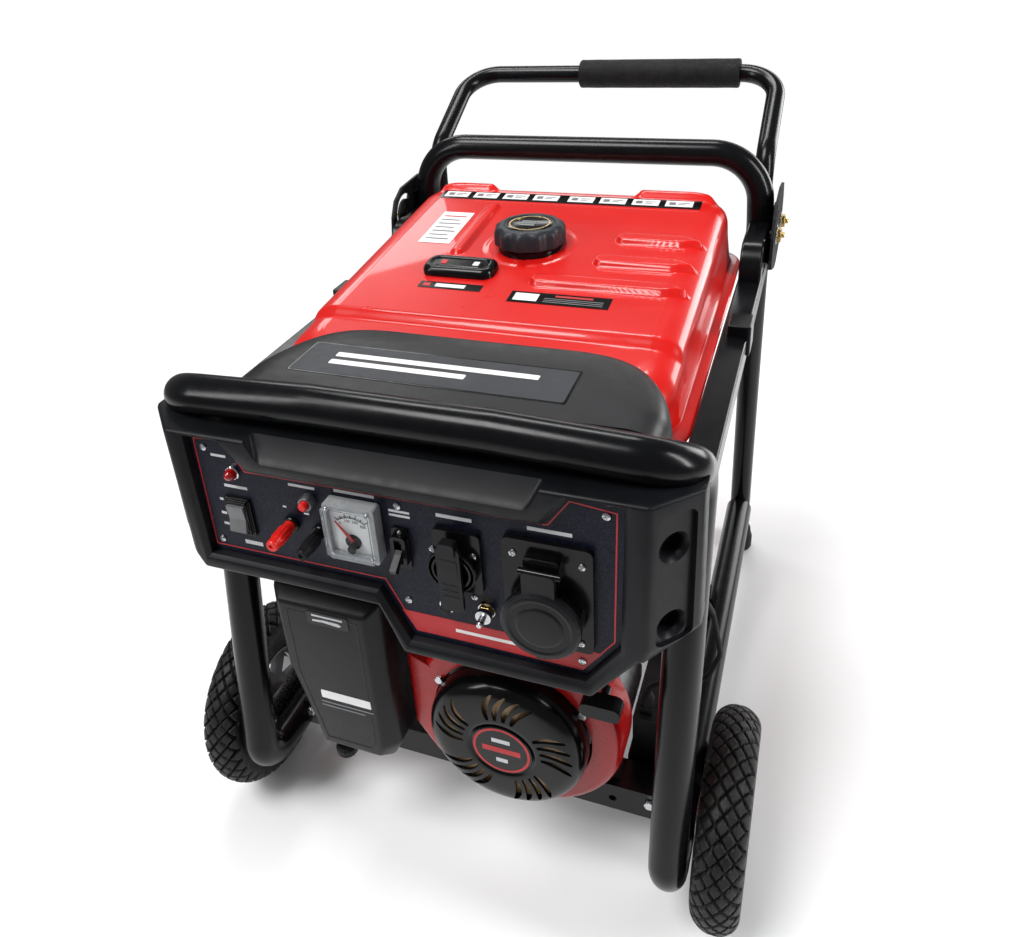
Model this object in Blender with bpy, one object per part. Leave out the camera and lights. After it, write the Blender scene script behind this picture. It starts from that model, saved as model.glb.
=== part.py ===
"""Portable petrol generator: open tubular frame on two wheels, fuel tank on top, control panel in front.

All lengths in this file are written in millimetres and turned into metres when a mesh is made.
X points to the right of a person facing the control panel, Y points from the panel to the rear,
Z points up and the wheels and rear feet stand on Z = 0.
"""
import math
import bpy
import bmesh
from mathutils import Vector, Matrix

MM = 0.001
GAP = 0.4                     # clearance left between neighbouring pieces
Y_CENTRE = 369.9              # moves the whole machine so that its outline is centred on the origin

# frame tubes
TUBE_R, LOOP_R, LEG_R = 21.0, 19.0, 17.0
HALF_W = 267.0                # centre of the side tubes
BAR_Y, BAR_Z = -57.0, 679.0   # front bar above the control panel
BASE_Z = 106.0                # centre of the bottom rails
RAIL_X0, RAIL_X1, RAIL_TOP, RAIL_H = 251.0, 283.0, 620.0, 31.0   # square side rails
HOOP_Y, HOOP_Z = 622.0, 763.0
# wheels
WHEEL_R, WHEEL_W, WHEEL_X, WHEEL_Y = 125.0, 56.0, 321.0, 39.0
# folding handle
PIVOT_Y, PIVOT_Z, HANDLE_X, HANDLE_R = 664.0, 652.0, 264.0, 14.0
# control panel
PANEL_Y = -84.0
# engine
CRANK_X, CRANK_Z = 75.0, 250.0

BLACK = (0.012, 0.012, 0.014)
PLASTIC = (0.025, 0.026, 0.028)
RED = (0.62, 0.012, 0.010)
STEEL = (0.55, 0.56, 0.58)
ALU = (0.62, 0.63, 0.64)
RUBBER = (0.018, 0.018, 0.018)

for old in list(bpy.data.objects):
    bpy.data.objects.remove(old, do_unlink=True)


# ---------------------------------------------------------------- shape helpers
def prism(poly, axis, a, b):
    """Extrude a closed 2-D outline along one axis, from a to b."""
    def point(u, v, w):
        return {"X": (w, u, v), "Y": (u, w, v), "Z": (u, v, w)}[axis]
    n = len(poly)
    verts = [point(u, v, a) for u, v in poly] + [point(u, v, b) for u, v in poly]
    faces = [list(range(n)), list(range(n, 2 * n))]
    faces += [[i, (i + 1) % n, n + (i + 1) % n, n + i] for i in range(n)]
    return verts, faces


def box(x0, x1, y0, y1, z0, z1):
    return prism([(x0, y0), (x1, y0), (x1, y1), (x0, y1)], "Z", z0, z1)


def lathe(profile, centre, axis, n=24, squash=1.0):
    """Turn a profile of (radius, height) pairs about an axis; the ends may lie on the axis."""
    verts, rings = [], []
    for r, h in profile:
        ring = []
        count = 1 if r < 1e-6 else n
        for i in range(count):
            t = 2 * math.pi * i / n
            u, v = r * math.cos(t), r * math.sin(t) * squash
            p = {"X": (h, u, v), "Y": (u, h, v), "Z": (u, v, h)}[axis]
            ring.append(len(verts))
            verts.append(tuple(c + d for c, d in zip(centre, p)))
        rings.append(ring)
    faces = []
    for a, b in zip(rings[:-1], rings[1:]):
        for i in range(n):
            j = (i + 1) % n
            quad = [a[i % len(a)], a[j % len(a)], b[j % len(b)], b[i % len(b)]]
            quad = [q for k, q in enumerate(quad) if q not in quad[:k]]
            if len(quad) > 2:
                faces.append(quad)
    for ring in (rings[0], rings[-1]):
        if len(ring) > 1:
            faces.append(list(ring))
    return verts, faces


def closed_lathe(profile, centre, axis, n=24):
    """Turn a closed profile (a ring with a hole through it)."""
    verts = []
    m = len(profile)
    for r, h in profile:
        for i in range(n):
            t = 2 * math.pi * i / n
            u, v = r * math.cos(t), r * math.sin(t)
            p = {"X": (h, u, v), "Y": (u, h, v), "Z": (u, v, h)}[axis]
            verts.append(tuple(c + d for c, d in zip(centre, p)))
    faces = []
    for k in range(m):
        a, b = k * n, ((k + 1) % m) * n
        faces += [[a + i, a + (i + 1) % n, b + (i + 1) % n, b + i] for i in range(n)]
    return verts, faces


def loft(rings):
    """Skin a stack of rings that all have the same number of points."""
    n = len(rings[0])
    verts = [p for ring in rings for p in ring]
    faces = [list(range(n)), list(range(len(verts) - n, len(verts)))]
    for k in range(len(rings) - 1):
        a, b = k * n, (k + 1) * n
        faces += [[a + i, a + (i + 1) % n, b + (i + 1) % n, b + i] for i in range(n)]
    return verts, faces


def round_rect(x0, x1, y0, y1, r, seg=4):
    pts = []
    corners = ((x1 - r, y1 - r, 0), (x0 + r, y1 - r, 90), (x0 + r, y0 + r, 180), (x1 - r, y0 + r, 270))
    for cx, cy, start in corners:
        for i in range(seg + 1):
            t = math.radians(start + 90.0 * i / seg)
            pts.append((cx + r * math.cos(t), cy + r * math.sin(t)))
    return pts


def fillet_path(points, seg=5):
    """Replace the corners of a polyline by arcs; points are (x, y, z, radius)."""
    out = [Vector(points[0][:3])]
    for i in range(1, len(points) - 1):
        p, r = Vector(points[i][:3]), points[i][3]
        a = (Vector(points[i - 1][:3]) - p).normalized()
        b = (Vector(points[i + 1][:3]) - p).normalized()
        half = a.angle(b) / 2
        if r <= 0 or half > math.radians(89.5):
            out.append(p)
            continue
        dist = r / math.tan(half)
        centre = p + (a + b).normalized() * (r / math.sin(half))
        va, vb = p + a * dist - centre, p + b * dist - centre
        sweep_angle = va.angle(vb)
        axis = va.cross(vb).normalized()
        for k in range(seg + 1):
            out.append(centre + Matrix.Rotation(sweep_angle * k / seg, 3, axis) @ va)
    out.append(Vector(points[-1][:3]))
    return out


def sweep(path, r, n=14, cut_start=None, cut_end=None):
    """Round bar along a path. A cut is (axis index, coordinate) of the plane the end is trimmed to."""
    path = [Vector(p) for p in path]
    tang = []
    for i in range(len(path)):
        a = path[i] - path[i - 1] if i > 0 else path[1] - path[0]
        b = path[i + 1] - path[i] if i < len(path) - 1 else path[-1] - path[-2]
        tang.append((a.normalized() + b.normalized()).normalized())
    side = tang[0].orthogonal().normalized()
    if abs(tang[0].x) < 0.9:
        side = (Vector((1, 0, 0)) - tang[0] * tang[0].x).normalized()
    rings = []
    for i, p in enumerate(path):
        if i:
            side = tang[i - 1].rotation_difference(tang[i]) @ side
            side = (side - tang[i] * side.dot(tang[i])).normalized()
        other = tang[i].cross(side)
        ring = []
        for k in range(n):
            t = 2 * math.pi * k / n
            ring.append(p + side * (r * math.cos(t)) + other * (r * math.sin(t)))
        rings.append(ring)
    for which, cut in ((0, cut_start), (-1, cut_end)):
        if cut:
            k, value = cut
            t = tang[which]
            rings[which] = [v + t * ((value - v[k]) / t[k]) for v in rings[which]]
    return loft([[tuple(v) for v in ring] for ring in rings])


def moved(shape, matrix):
    return [tuple(matrix @ Vector(v)) for v in shape[0]], shape[1]


def turn(angle_deg, axis, centre):
    c = Vector(centre)
    return Matrix.Translation(c) @ Matrix.Rotation(math.radians(angle_deg), 4, axis) @ Matrix.Translation(-c)


def to_mesh(shape):
    mesh = bpy.data.meshes.new("shape")
    mesh.from_pydata([Vector(v) * MM for v in shape[0]], [], shape[1])
    bm = bmesh.new()
    bm.from_mesh(mesh)
    bmesh.ops.recalc_face_normals(bm, faces=bm.faces)
    bm.to_mesh(mesh)
    bm.free()
    return mesh


def combine(base, add=(), cut=()):
    """Join shapes to a base and cut others from it; the result is one closed mesh."""
    target = bpy.data.objects.new("work", to_mesh(base) if isinstance(base, tuple) else base)
    bpy.context.scene.collection.objects.link(target)
    helpers = []
    for shapes, operation in ((add, "UNION"), (cut, "DIFFERENCE")):
        for shape in shapes:
            helper = bpy.data.objects.new("helper", to_mesh(shape) if isinstance(shape, tuple) else shape)
            bpy.context.scene.collection.objects.link(helper)
            helper.hide_render = True
            helper.display_type = "WIRE"
            helpers.append(helper)
            mod = target.modifiers.new("work", "BOOLEAN")
            mod.operation = operation
            mod.solver = "EXACT"
            mod.object = helper
    bpy.context.view_layer.update()
    graph = bpy.context.evaluated_depsgraph_get()
    mesh = bpy.data.meshes.new_from_object(target.evaluated_get(graph))
    for helper in helpers + [target]:
        bpy.data.objects.remove(helper, do_unlink=True)
    bm = bmesh.new()
    bm.from_mesh(mesh)
    bmesh.ops.remove_doubles(bm, verts=bm.verts, dist=0.00002)
    bmesh.ops.dissolve_degenerate(bm, edges=bm.edges, dist=0.00002)
    bmesh.ops.recalc_face_normals(bm, faces=bm.faces)
    bm.to_mesh(mesh)
    bm.free()
    return mesh


def node(name, shape, colour, rough=0.5, metal=0.0, pivot=(0, 0, 0), alpha=1.0, sharp=32):
    """Make one named piece; its origin is put on the pivot point."""
    mesh = to_mesh(shape) if isinstance(shape, tuple) else shape
    mesh.name = name
    origin = Vector(pivot) * MM
    mesh.transform(Matrix.Translation(-origin))
    mesh.shade_smooth()
    mesh.set_sharp_from_angle(angle=math.radians(sharp))
    mat = bpy.data.materials.new(name + "_mat")
    mat.use_nodes = True
    bsdf = mat.node_tree.nodes["Principled BSDF"]
    bsdf.inputs["Base Color"].default_value = (*colour, 1.0)
    bsdf.inputs["Roughness"].default_value = rough
    bsdf.inputs["Metallic"].default_value = metal
    bsdf.inputs["Alpha"].default_value = alpha
    mesh.materials.clear()
    mesh.materials.append(mat)
    obj = bpy.data.objects.new(name, mesh)
    bpy.context.scene.collection.objects.link(obj)
    obj.location = origin - Vector((0, Y_CENTRE * MM, 0))


def both(label, make):
    """Build a piece for the left (s = -1) and the right (s = 1) side."""
    for side, s in (("left", -1), ("right", 1)):
        make(label + "_" + side, s)


# ---------------------------------------------------------------- tubular frame
def leg_y(z):
    """Front legs lean forward towards the ground."""
    return -58.0 + (z - 131.0) * 0.163


def rear_leg_y(z):
    """Rear legs lean backward towards the ground."""
    return 618.0 + (600.0 - z) * 0.139


def front_path():
    half = [(HALF_W, rear_leg_y(BASE_Z) - LEG_R - 1.0, BASE_Z, 0), (HALF_W, leg_y(BASE_Z), BASE_Z, 38),
            (HALF_W, leg_y(625), 625, 42), (HALF_W, BAR_Y, BAR_Z, 48), (95, BAR_Y - 1, BAR_Z + 8, 300)]
    return fillet_path([(-x, y, z, r) for x, y, z, r in half] + list(reversed(half)))


def hoop_path():
    foot = RAIL_TOP - RAIL_H
    half = [(HALF_W, HOOP_Y, foot, 0), (HALF_W, HOOP_Y, 660, 300), (HALF_W - 5, HOOP_Y, HOOP_Z, 72)]
    return fillet_path([(-x, y, z, r) for x, y, z, r in half] + list(reversed(half)))


def side_parts(s):
    """Square rail, the raised bracket that holds the hoop, and the small rest block, for one side."""
    x0, x1 = sorted((s * RAIL_X0, s * RAIL_X1))
    y0 = leg_y(RAIL_TOP) + TUBE_R * 0.6
    rail = box(x0, x1, y0, HOOP_Y - 8, RAIL_TOP - RAIL_H, RAIL_TOP)
    bracket = box(x0 + 1, x1 - 1, 492, HOOP_Y - 6, RAIL_TOP - 5, 668)
    x2, x3 = sorted((s * 259, s * 287))
    block = box(x2, x3, 315, 355, 596, 635)
    return [rail, bracket, block]


front_tube = sweep(front_path(), TUBE_R, 16)
fat_front = sweep(front_path(), TUBE_R + GAP, 16)
hoop = sweep(hoop_path(), LOOP_R, 14)
fat_loop = sweep(hoop_path(), LOOP_R + GAP, 14)
node("front_frame_tube", front_tube, BLACK, 0.32)
node("upper_frame", combine(combine(hoop, add=side_parts(-1) + side_parts(1)), cut=[fat_front]), BLACK, 0.32)


def rear_leg(name, s):
    top = RAIL_TOP - RAIL_H - GAP
    path = [(s * HALF_W, rear_leg_y(top), top), (s * HALF_W, rear_leg_y(44), 44)]
    leg = sweep(path, LEG_R, 14, cut_start=(2, top), cut_end=(2, 44.0))
    flange = box(s * HALF_W - 13, s * HALF_W + 13, rear_leg_y(BASE_Z) - 44, rear_leg_y(BASE_Z), 62, 84.5)
    node(name, combine(leg, add=[flange], cut=[fat_front]), BLACK, 0.34)


def rear_foot(name, s):
    y = rear_leg_y(20)
    profile = [(0, 0), (21, 0), (25, 4), (25, 26), (21, 43.5), (0, 43.5)]
    node(name, lathe(profile, (s * HALF_W, y, 0), "Z", 20), RUBBER, 0.85)


both("rear_leg", rear_leg)
both("rear_foot", rear_foot)

CROSS_X = HALF_W - TUBE_R - GAP


def cross_member(name, y0, y1, holes):
    outline = [(y0, 108), (y1, 108), (y1, 112), (y0 + 4, 112), (y0 + 4, 146), (y1, 146), (y1, 150), (y0, 150)]
    holes = [lathe([(0, -20), (5, -20), (5, 20), (0, 20)], (x, y0, 127), "Y", 10) for x in holes]
    node(name, combine(prism(outline, "X", -CROSS_X, CROSS_X), cut=holes), BLACK, 0.4)


cross_member("base_cross_front", 18, 60, (-188, 188))
cross_member("base_cross_rear", 408, 450, (-188, 188))


# ---------------------------------------------------------------- wheels
def stub_axle(name, s):
    x = HALF_W + TUBE_R + GAP
    plate = prism(round_rect(WHEEL_Y - 34, WHEEL_Y + 34, 88, 146, 10, 3), "X", s * x, s * (x + 4))
    shaft = lathe([(0, 0), (8, 0), (8, 54), (6.5, 56), (0, 56)], (0, WHEEL_Y, WHEEL_R), "X", 14)
    shaft = moved(shaft, Matrix.Translation((s * (x + 2), 0, 0)) @ Matrix.Scale(s, 4, (1, 0, 0)))
    node(name, combine(plate, add=[shaft]), STEEL, 0.35, 1.0)


def wheel_rim(name, s):
    hub = [(8.5, -25), (15, -25), (15, -12), (60, -9), (62, -21), (66, -21), (66, 21), (62, 21), (60, -3),
           (15, -2), (15, 19), (8.5, 19)]
    disc = closed_lathe([(r, s * h) for r, h in hub], (s * WHEEL_X, WHEEL_Y, WHEEL_R), "X", 28)
    cuts = []
    for k in range(5):
        t = math.radians(72 * k + 18)
        c = (s * WHEEL_X, WHEEL_Y + 39 * math.cos(t), WHEEL_R + 39 * math.sin(t))
        cuts.append(lathe([(0, -30), (12.5, -30), (12.5, 18), (0, 18)], c, "X", 12))
    grey = (0.35, 0.36, 0.37)
    node(name, combine(disc, cut=cuts), grey, 0.45, 0.6, pivot=(s * WHEEL_X, WHEEL_Y, WHEEL_R))


def wheel_tyre(name, s):
    w = WHEEL_W / 2
    section = [(66.4, -20), (66.4, 20), (80, w - 3), (100, w), (114, w - 4), (122, w - 12), (WHEEL_R, 8),
               (WHEEL_R, -8), (122, -w + 12), (114, -w + 4), (100, -w), (80, -w + 3)]
    tyre = closed_lathe(section, (s * WHEEL_X, WHEEL_Y, WHEEL_R), "X", 32)
    node(name, tyre, RUBBER, 0.9, pivot=(s * WHEEL_X, WHEEL_Y, WHEEL_R))


both("stub_axle", stub_axle)
both("wheel_rim", wheel_rim)
both("wheel_tyre", wheel_tyre)


# ---------------------------------------------------------------- folding handle
HANDLE_LEAN = math.radians(62.0)
BAR_REACH = 200.0
BEND_Z = 742.0


def handle_half():
    end_y = PIVOT_Y + BAR_REACH * math.sin(HANDLE_LEAN)
    end_z = BEND_Z + BAR_REACH * math.cos(HANDLE_LEAN)
    return [(HANDLE_X, PIVOT_Y, PIVOT_Z - 16, 0), (HANDLE_X, PIVOT_Y, BEND_Z, 60),
            (HANDLE_X, end_y, end_z, 58)]


half = handle_half()
HANDLE_END = half[2]
handle_path = fillet_path([(-x, y, z, r) for x, y, z, r in half] + list(reversed(half)))
bolt_holes = [lathe([(0, -40), (5.2, -40), (5.2, 40), (0, 40)], (s * HANDLE_X, PIVOT_Y, PIVOT_Z), "X", 10)
              for s in (-1, 1)]
node("handle_tube", combine(sweep(handle_path, HANDLE_R, 12), cut=bolt_holes), BLACK, 0.32,
     pivot=(0, PIVOT_Y, PIVOT_Z))
GRIP_X0, GRIP_X1 = -60.0, 204.0        # the foam sleeve sits to the right of the middle
grip = closed_lathe([(HANDLE_R + 0.4, GRIP_X0), (22, GRIP_X0), (23.5, GRIP_X0 + 4), (23.5, GRIP_X1 - 4),
                     (22, GRIP_X1), (HANDLE_R + 0.4, GRIP_X1)], (0, HANDLE_END[1], HANDLE_END[2]), "X", 18)
node("handle_grip", grip, RUBBER, 0.8, pivot=(0, PIVOT_Y, PIVOT_Z))


SLOT_Y, SLOT_Z, SLOT_R = 575.0, 663.0, 28.0


def handle_plate(name, s):
    """Side plate fixed to the hoop, with a curved slot and the bolt that carries the handle leg."""
    x = s * (HALF_W + TUBE_R + 1.0)
    outline = [(523, 640), (529, 670), (543, 693), (570, 707), (637, 711), (694, 702), (712, 678), (714, 630),
               (692, 604), (640, 594), (606, 598), (536, 622)]
    slot = []
    for k in range(11):
        t = math.radians(55 + 14.5 * k)
        slot.append((SLOT_Y + (SLOT_R + 4.5) * math.cos(t), SLOT_Z + (SLOT_R + 4.5) * math.sin(t)))
    for k in range(10, -1, -1):
        t = math.radians(55 + 14.5 * k)
        slot.append((SLOT_Y + (SLOT_R - 4.5) * math.cos(t), SLOT_Z + (SLOT_R - 4.5) * math.sin(t)))
    plate = prism(outline, "X", x, x + s * 4)
    extras = [box(min(x, x - s * 4), max(x, x - s * 4), 608, 634, 604, 690)]
    for y, z, r, reach in ((PIVOT_Y, PIVOT_Z, 4.7, 41), (SLOT_Y, SLOT_Z - 2, 5.5, 4.6)):
        head = [(y + 2 * r * math.cos(math.radians(60 * k)), z + 2 * r * math.sin(math.radians(60 * k)))
                for k in range(6)]
        extras.append(prism(head, "X", x + s * 3, x + s * 10))
        shank = lathe([(0, 0), (r, 0), (r, reach + 3), (0, reach + 3)], (0, y, z), "X", 12)
        extras.append(moved(shank, Matrix.Translation((x + s * 3, 0, 0)) @ Matrix.Scale(-s, 4, (1, 0, 0))))
    plate = combine(plate, cut=[prism(slot, "X", x - 12, x + 12)])
    node(name, combine(combine(plate, add=extras), cut=[fat_loop]), BLACK, 0.4)


both("handle_plate", handle_plate)


# ---------------------------------------------------------------- fuel tank
def tank_top(y):
    return 660.0 + 0.1061 * y


def flange_z(y):
    return 606.0 + 0.041 * y


def tank_ring(w, y0, y1, r, height):
    return [(x, y, height(y)) for x, y in round_rect(-w, w, y0, y1, r, 4)]


tank_shape = loft([
    tank_ring(190, 112, 540, 30, lambda y: 540.0),
    tank_ring(226, 84, 564, 40, lambda y: 556.0),
    tank_ring(231, 78, 572, 44, lambda y: flange_z(y) - 3),
    tank_ring(250, 53.5, 584, 50, lambda y: flange_z(y) - 3),
    tank_ring(250, 53.5, 584, 50, lambda y: flange_z(y) + 2),
    tank_ring(236, 74, 578, 46, lambda y: flange_z(y) + 2),
    tank_ring(231, 80, 572, 44, lambda y: tank_top(y) - 32),
    tank_ring(224, 87, 565, 42, lambda y: tank_top(y) - 12),
    tank_ring(211, 100, 552, 40, lambda y: tank_top(y) - 2),
    tank_ring(199, 112, 540, 36, lambda y: tank_top(y))])
step_cut = prism([(60, tank_top(60) - 7), (157, tank_top(157) - 7), (192, tank_top(192) + 0.6), (192, 760),
                  (60, 760)], "X", -260, 260)
ribs = []
for x0, y in ((104, 402), (90, 337), (25, 276)):
    low = [(x, yy, tank_top(yy) - 3) for x, yy in round_rect(x0, 192, y - 11, y + 11, 10.9, 2)]
    high = [(x, yy, tank_top(yy) + 4) for x, yy in round_rect(x0 + 7, 184, y - 5, y + 5, 4.9, 2)]
    ribs.append(loft([low, high]))
bead_low = [(x, yy, tank_top(yy) - 3) for x, yy in round_rect(-108, -88, 330, 492, 9.9, 2)]
bead_high = [(x, yy, tank_top(yy) + 4) for x, yy in round_rect(-102, -94, 337, 485, 3.9, 2)]
ribs.append(loft([bead_low, bead_high]))
rims = []
for x0, x1 in ((-204, -122), (104, 204)):
    low = [(x, yy, tank_top(yy) - 8) for x, yy in round_rect(x0 - 8, x1 + 8, 532, 563, 12, 2)]
    high = [(x, yy, tank_top(yy) + 9) for x, yy in round_rect(x0 + 6, x1 - 6, 540, 556, 6, 2)]
    rims.append(loft([low, high]))
node("fuel_tank", combine(tank_shape, cut=[step_cut], add=ribs + rims), RED, 0.22, sharp=40)

CAP_X, CAP_Y = -6.0, 372.0
cap_base = tank_top(CAP_Y) + 5.8
lobes = []
for k in range(48):
    t = 2 * math.pi * k / 48
    lobes.append((CAP_X + (45.5 + 2.6 * math.cos(12 * t)) * math.cos(t),
                  CAP_Y + (45.5 + 2.6 * math.cos(12 * t)) * math.sin(t)))
inner = [(CAP_X + 0.86 * (x - CAP_X), CAP_Y + 0.86 * (y - CAP_Y)) for x, y in lobes]
cap = loft([[(x, y, cap_base) for x, y in lobes], [(x, y, cap_base + 24) for x, y in lobes],
            [(x, y, cap_base + 30) for x, y in inner]])
node("fuel_cap", cap, PLASTIC, 0.45, pivot=(CAP_X, CAP_Y, cap_base))

gauge_y = 290.0
gauge_low = [(x, y, tank_top(y) + 0.5) for x, y in round_rect(-122, -26, gauge_y - 21, gauge_y + 21, 14, 3)]
gauge_high = [(x, y, tank_top(y) + 12) for x, y in round_rect(-117, -31, gauge_y - 16, gauge_y + 16, 11, 3)]
node("fuel_gauge", loft([gauge_low, gauge_high]), BLACK, 0.3)


# ---------------------------------------------------------------- cowl, panel surround and control plate
def cowl_ring(right, left, rear, z):
    """Half-round outline of the cowl at one height, drawn in by different amounts at its right, left and rear."""
    corner = [(0, -34), (0, 12 - rear * 0.5), (8, 44 - rear), (22, 74 - rear), (40, 95 - rear), (62, 107 - rear),
              (92, 112 - rear)]
    half_width = 246
    outline = [(half_width - right - dx, y) for dx, y in corner]
    outline += [(left + dx - half_width, y) for dx, y in reversed(corner)]
    return [(x, y, z) for x, y in outline]


# the left end leans in more than the right one
cowl = loft([cowl_ring(0, 8, 0, 641), cowl_ring(0.5, 18, 0, 658), cowl_ring(3, 38, 1, 675),
             cowl_ring(9, 52, 4, 686), cowl_ring(18, 63, 8, 691), cowl_ring(32, 78, 14, 693.5)])
tank_clear = loft([
    tank_ring(245, 66.5, 586, 50, lambda y: 600.0),
    tank_ring(245, 66.5, 586, 50, lambda y: flange_z(y) + 4),
    tank_ring(237, 73, 579, 46, lambda y: flange_z(y) + 5),
    tank_ring(233, 78, 574, 44, lambda y: tank_top(y) - 31),
    tank_ring(226, 85, 567, 42, lambda y: tank_top(y) - 10),
    tank_ring(213, 98, 554, 40, lambda y: tank_top(y) + 1.0)])
plate_recess = box(-150, 150, -8, 58, 691.2, 700)
node("top_cowl", combine(cowl, cut=[tank_clear, plate_recess, fat_front, fat_loop]), PLASTIC, 0.42)

surround_points = [
    # (front x, front z), (side x, side z): the side walls slope back from the front face
    ((-246, 659), (-286, 659)), ((-246, 500), (-288, 506)), ((-238, 482), (-268, 482)),
    ((-27, 482), (-27, 482)), ((-5, 424), (-5, 424)), ((194, 424), (194, 424)),
    ((238, 482), (238, 482)), ((244, 484), (268, 482)), ((246, 500), (288, 506)),
    ((246, 659), (286, 659))]
surround = loft([
    [(f[0], -96, f[1]) for f, m in surround_points],
    [(m[0], -56, m[1]) for f, m in surround_points],
    [(m[0], -35, m[1]) for f, m in surround_points]])
plate_outline = [(-223, 646), (-187, 646), (-161, 614), (154, 614), (177, 646), (219, 646), (216, 491),
                 (184, 447), (8, 447), (-21, 509), (-223, 509)]
window = [(-228, 651), (-185, 651), (-158, 619), (151, 619), (175, 651), (224, 651), (221, 489), (187, 440),
          (4, 440), (-25, 501), (-228, 501)]
pocket = prism([(-176, 700), (-163, 681), (-143, 639), (142, 639), (162, 681), (175, 700)], "Y", -110, -58)
recesses = []
for s in (-1, 1):
    slab = box(-19, 19, -4, 10, 502, 640)
    base = Matrix.Translation((s * 267, -76, 0)) @ Matrix.Rotation(s * math.radians(46.4), 4, "Z")
    recesses.append(moved(slab, base @ Matrix.Translation((0, -6, 0))))
    for z in (517, 605):
        hole = lathe([(0, -30), (7.5, -30), (7.5, 16), (0, 16)], (0, 0, z), "Y", 12)
        recesses.append(moved(hole, base))
node("panel_surround", combine(surround, cut=[prism(window, "Y", -110, -20), pocket, fat_front] + recesses),
     PLASTIC, 0.5)


def grown(poly, d):
    """Outline moved inward or outward by d."""
    n, out = len(poly), []
    for i in range(n):
        p, a, b = Vector(poly[i]), Vector(poly[i - 1]), Vector(poly[(i + 1) % n])
        e1, e2 = (p - a).normalized(), (b - p).normalized()
        n1, n2 = Vector((e1.y, -e1.x)), Vector((e2.y, -e2.x))
        m = (n1 + n2).normalized()
        out.append(tuple(p - m * (d / max(m.dot(n1), 0.3))))
    return out


plate = prism(grown(window, -0.6), "Y", PANEL_Y, PANEL_Y + 3)
bezel = [prism(round_rect(-199, -167, 532, 579, 3, 2), "Y", PANEL_Y - 3.4, PANEL_Y + 1),
         prism(round_rect(-196, -170, 535, 576, 2, 2), "Y", PANEL_Y - 6.4, PANEL_Y + 1)]
bushing = lathe([(0, 2), (9, 2), (9, -6), (7.6, -9), (0, -9)], (-95, PANEL_Y, 592), "Y", 14)
bushing_hole = lathe([(0, -20), (5.3, -20), (5.3, 10), (0, 10)], (-95, PANEL_Y, 592), "Y", 12)
ac_bushing = lathe([(0, 2), (9, 2), (9, -4.5), (8, -5.5), (0, -5.5)], (48, PANEL_Y, 496), "Y", 14)
ac_bushing_hole = lathe([(0, -20), (6.5, -20), (6.5, 10), (0, 10)], (48, PANEL_Y, 496), "Y", 14)
rocker_hole = box(-193.5, -172.5, PANEL_Y - 12, PANEL_Y + 2, 538, 573)
node("control_plate", combine(plate, add=bezel + [bushing, ac_bushing],
                              cut=[bushing_hole, ac_bushing_hole, rocker_hole]),
     (0.02, 0.022, 0.045), 0.4)
box_outline = [(-227, 500), (-24, 500), (4, 440), (187, 440), (220, 489), (222, 600), (222, 638), (-227, 638)]
box_shape = prism([(x * 0.985, z) for x, z in box_outline], "Y", -34.2, 52)
node("control_box", combine(box_shape, cut=[fat_front]), BLACK, 0.5)

# ---------------------------------------------------------------- controls on the plate
FACE = PANEL_Y - GAP


def knob(name, x, z, profile, colour, rough=0.4, metal=0.0, n=18):
    """Turned piece standing on the plate, its axis pointing forward."""
    shape = lathe([(r, -h) for r, h in profile], (x, FACE, z), "Y", n)
    node(name, shape, colour, rough, metal, pivot=(x, FACE, z))


lamp = [(0, 0), (8, 0), (8, 3), (6.5, 4), (6, 9), (3, 12), (0, 12.5)]
knob("pilot_lamp", -180, 611, lamp, (0.5, 0.01, 0.01), 0.15)
rocker_profile = [(FACE - 1.8, 539), (FACE - 5, 539), (FACE - 10.5, 541), (FACE - 7, 555.5), (FACE - 9, 572),
                  (FACE - 5, 572), (FACE - 1.8, 572)]
node("engine_switch", prism(rocker_profile, "X", -193, -173), (0.12, 0.125, 0.13), 0.35,
     pivot=(-183, FACE - 3, 555.5))
dc_button = [(0, 0.5), (4.8, 0.5), (4.8, 13), (4, 14), (0, 14)]
knob("dc_reset_button", -95, 592, dc_button, (0.7, 0.03, 0.02), 0.35, n=12)
post = [(0, 0), (9, 0), (9, 5), (6.4, 6), (6.4, 12), (7.6, 13), (7.6, 30), (6.6, 31), (6.6, 38),
        (5.6, 40), (0, 40)]
knob("dc_post_red", -120, 559, post, (0.75, 0.03, 0.02), 0.35, n=16)
knob("dc_post_black", -87, 555, post, BLACK, 0.35, n=16)

VX, VZ = -44.0, 571.0
meter = combine(prism(round_rect(VX - 27, VX + 29, VZ - 32, VZ + 33, 3, 2), "Y", FACE - 14, FACE),
                cut=[box(VX - 23, VX + 23, FACE - 20, FACE - 8, VZ - 26, VZ + 27)])
node("voltmeter_body", meter, PLASTIC, 0.4)
lens = combine(prism(round_rect(VX - 26, VX + 26, VZ - 30, VZ + 31, 3, 2), "Y", FACE - 20, FACE - 14.3),
               cut=[box(VX - 24, VX + 24, FACE - 17.8, FACE - 10, VZ - 28, VZ + 29)])
node("voltmeter_lens", lens, (0.85, 0.88, 0.9), 0.08, alpha=0.25)
needle = [(VX - 2.2, VZ - 10), (VX + 2.2, VZ - 10), (VX + 0.6, VZ + 18), (VX - 0.6, VZ + 18)]
node("voltmeter_needle", moved(prism(needle, "Y", FACE - 12.5, FACE - 11.5), turn(-38, "Y", (VX, 0, VZ - 8))),
     (0.6, 0.02, 0.02), 0.4, pivot=(VX, FACE - 12, VZ - 8))

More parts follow.
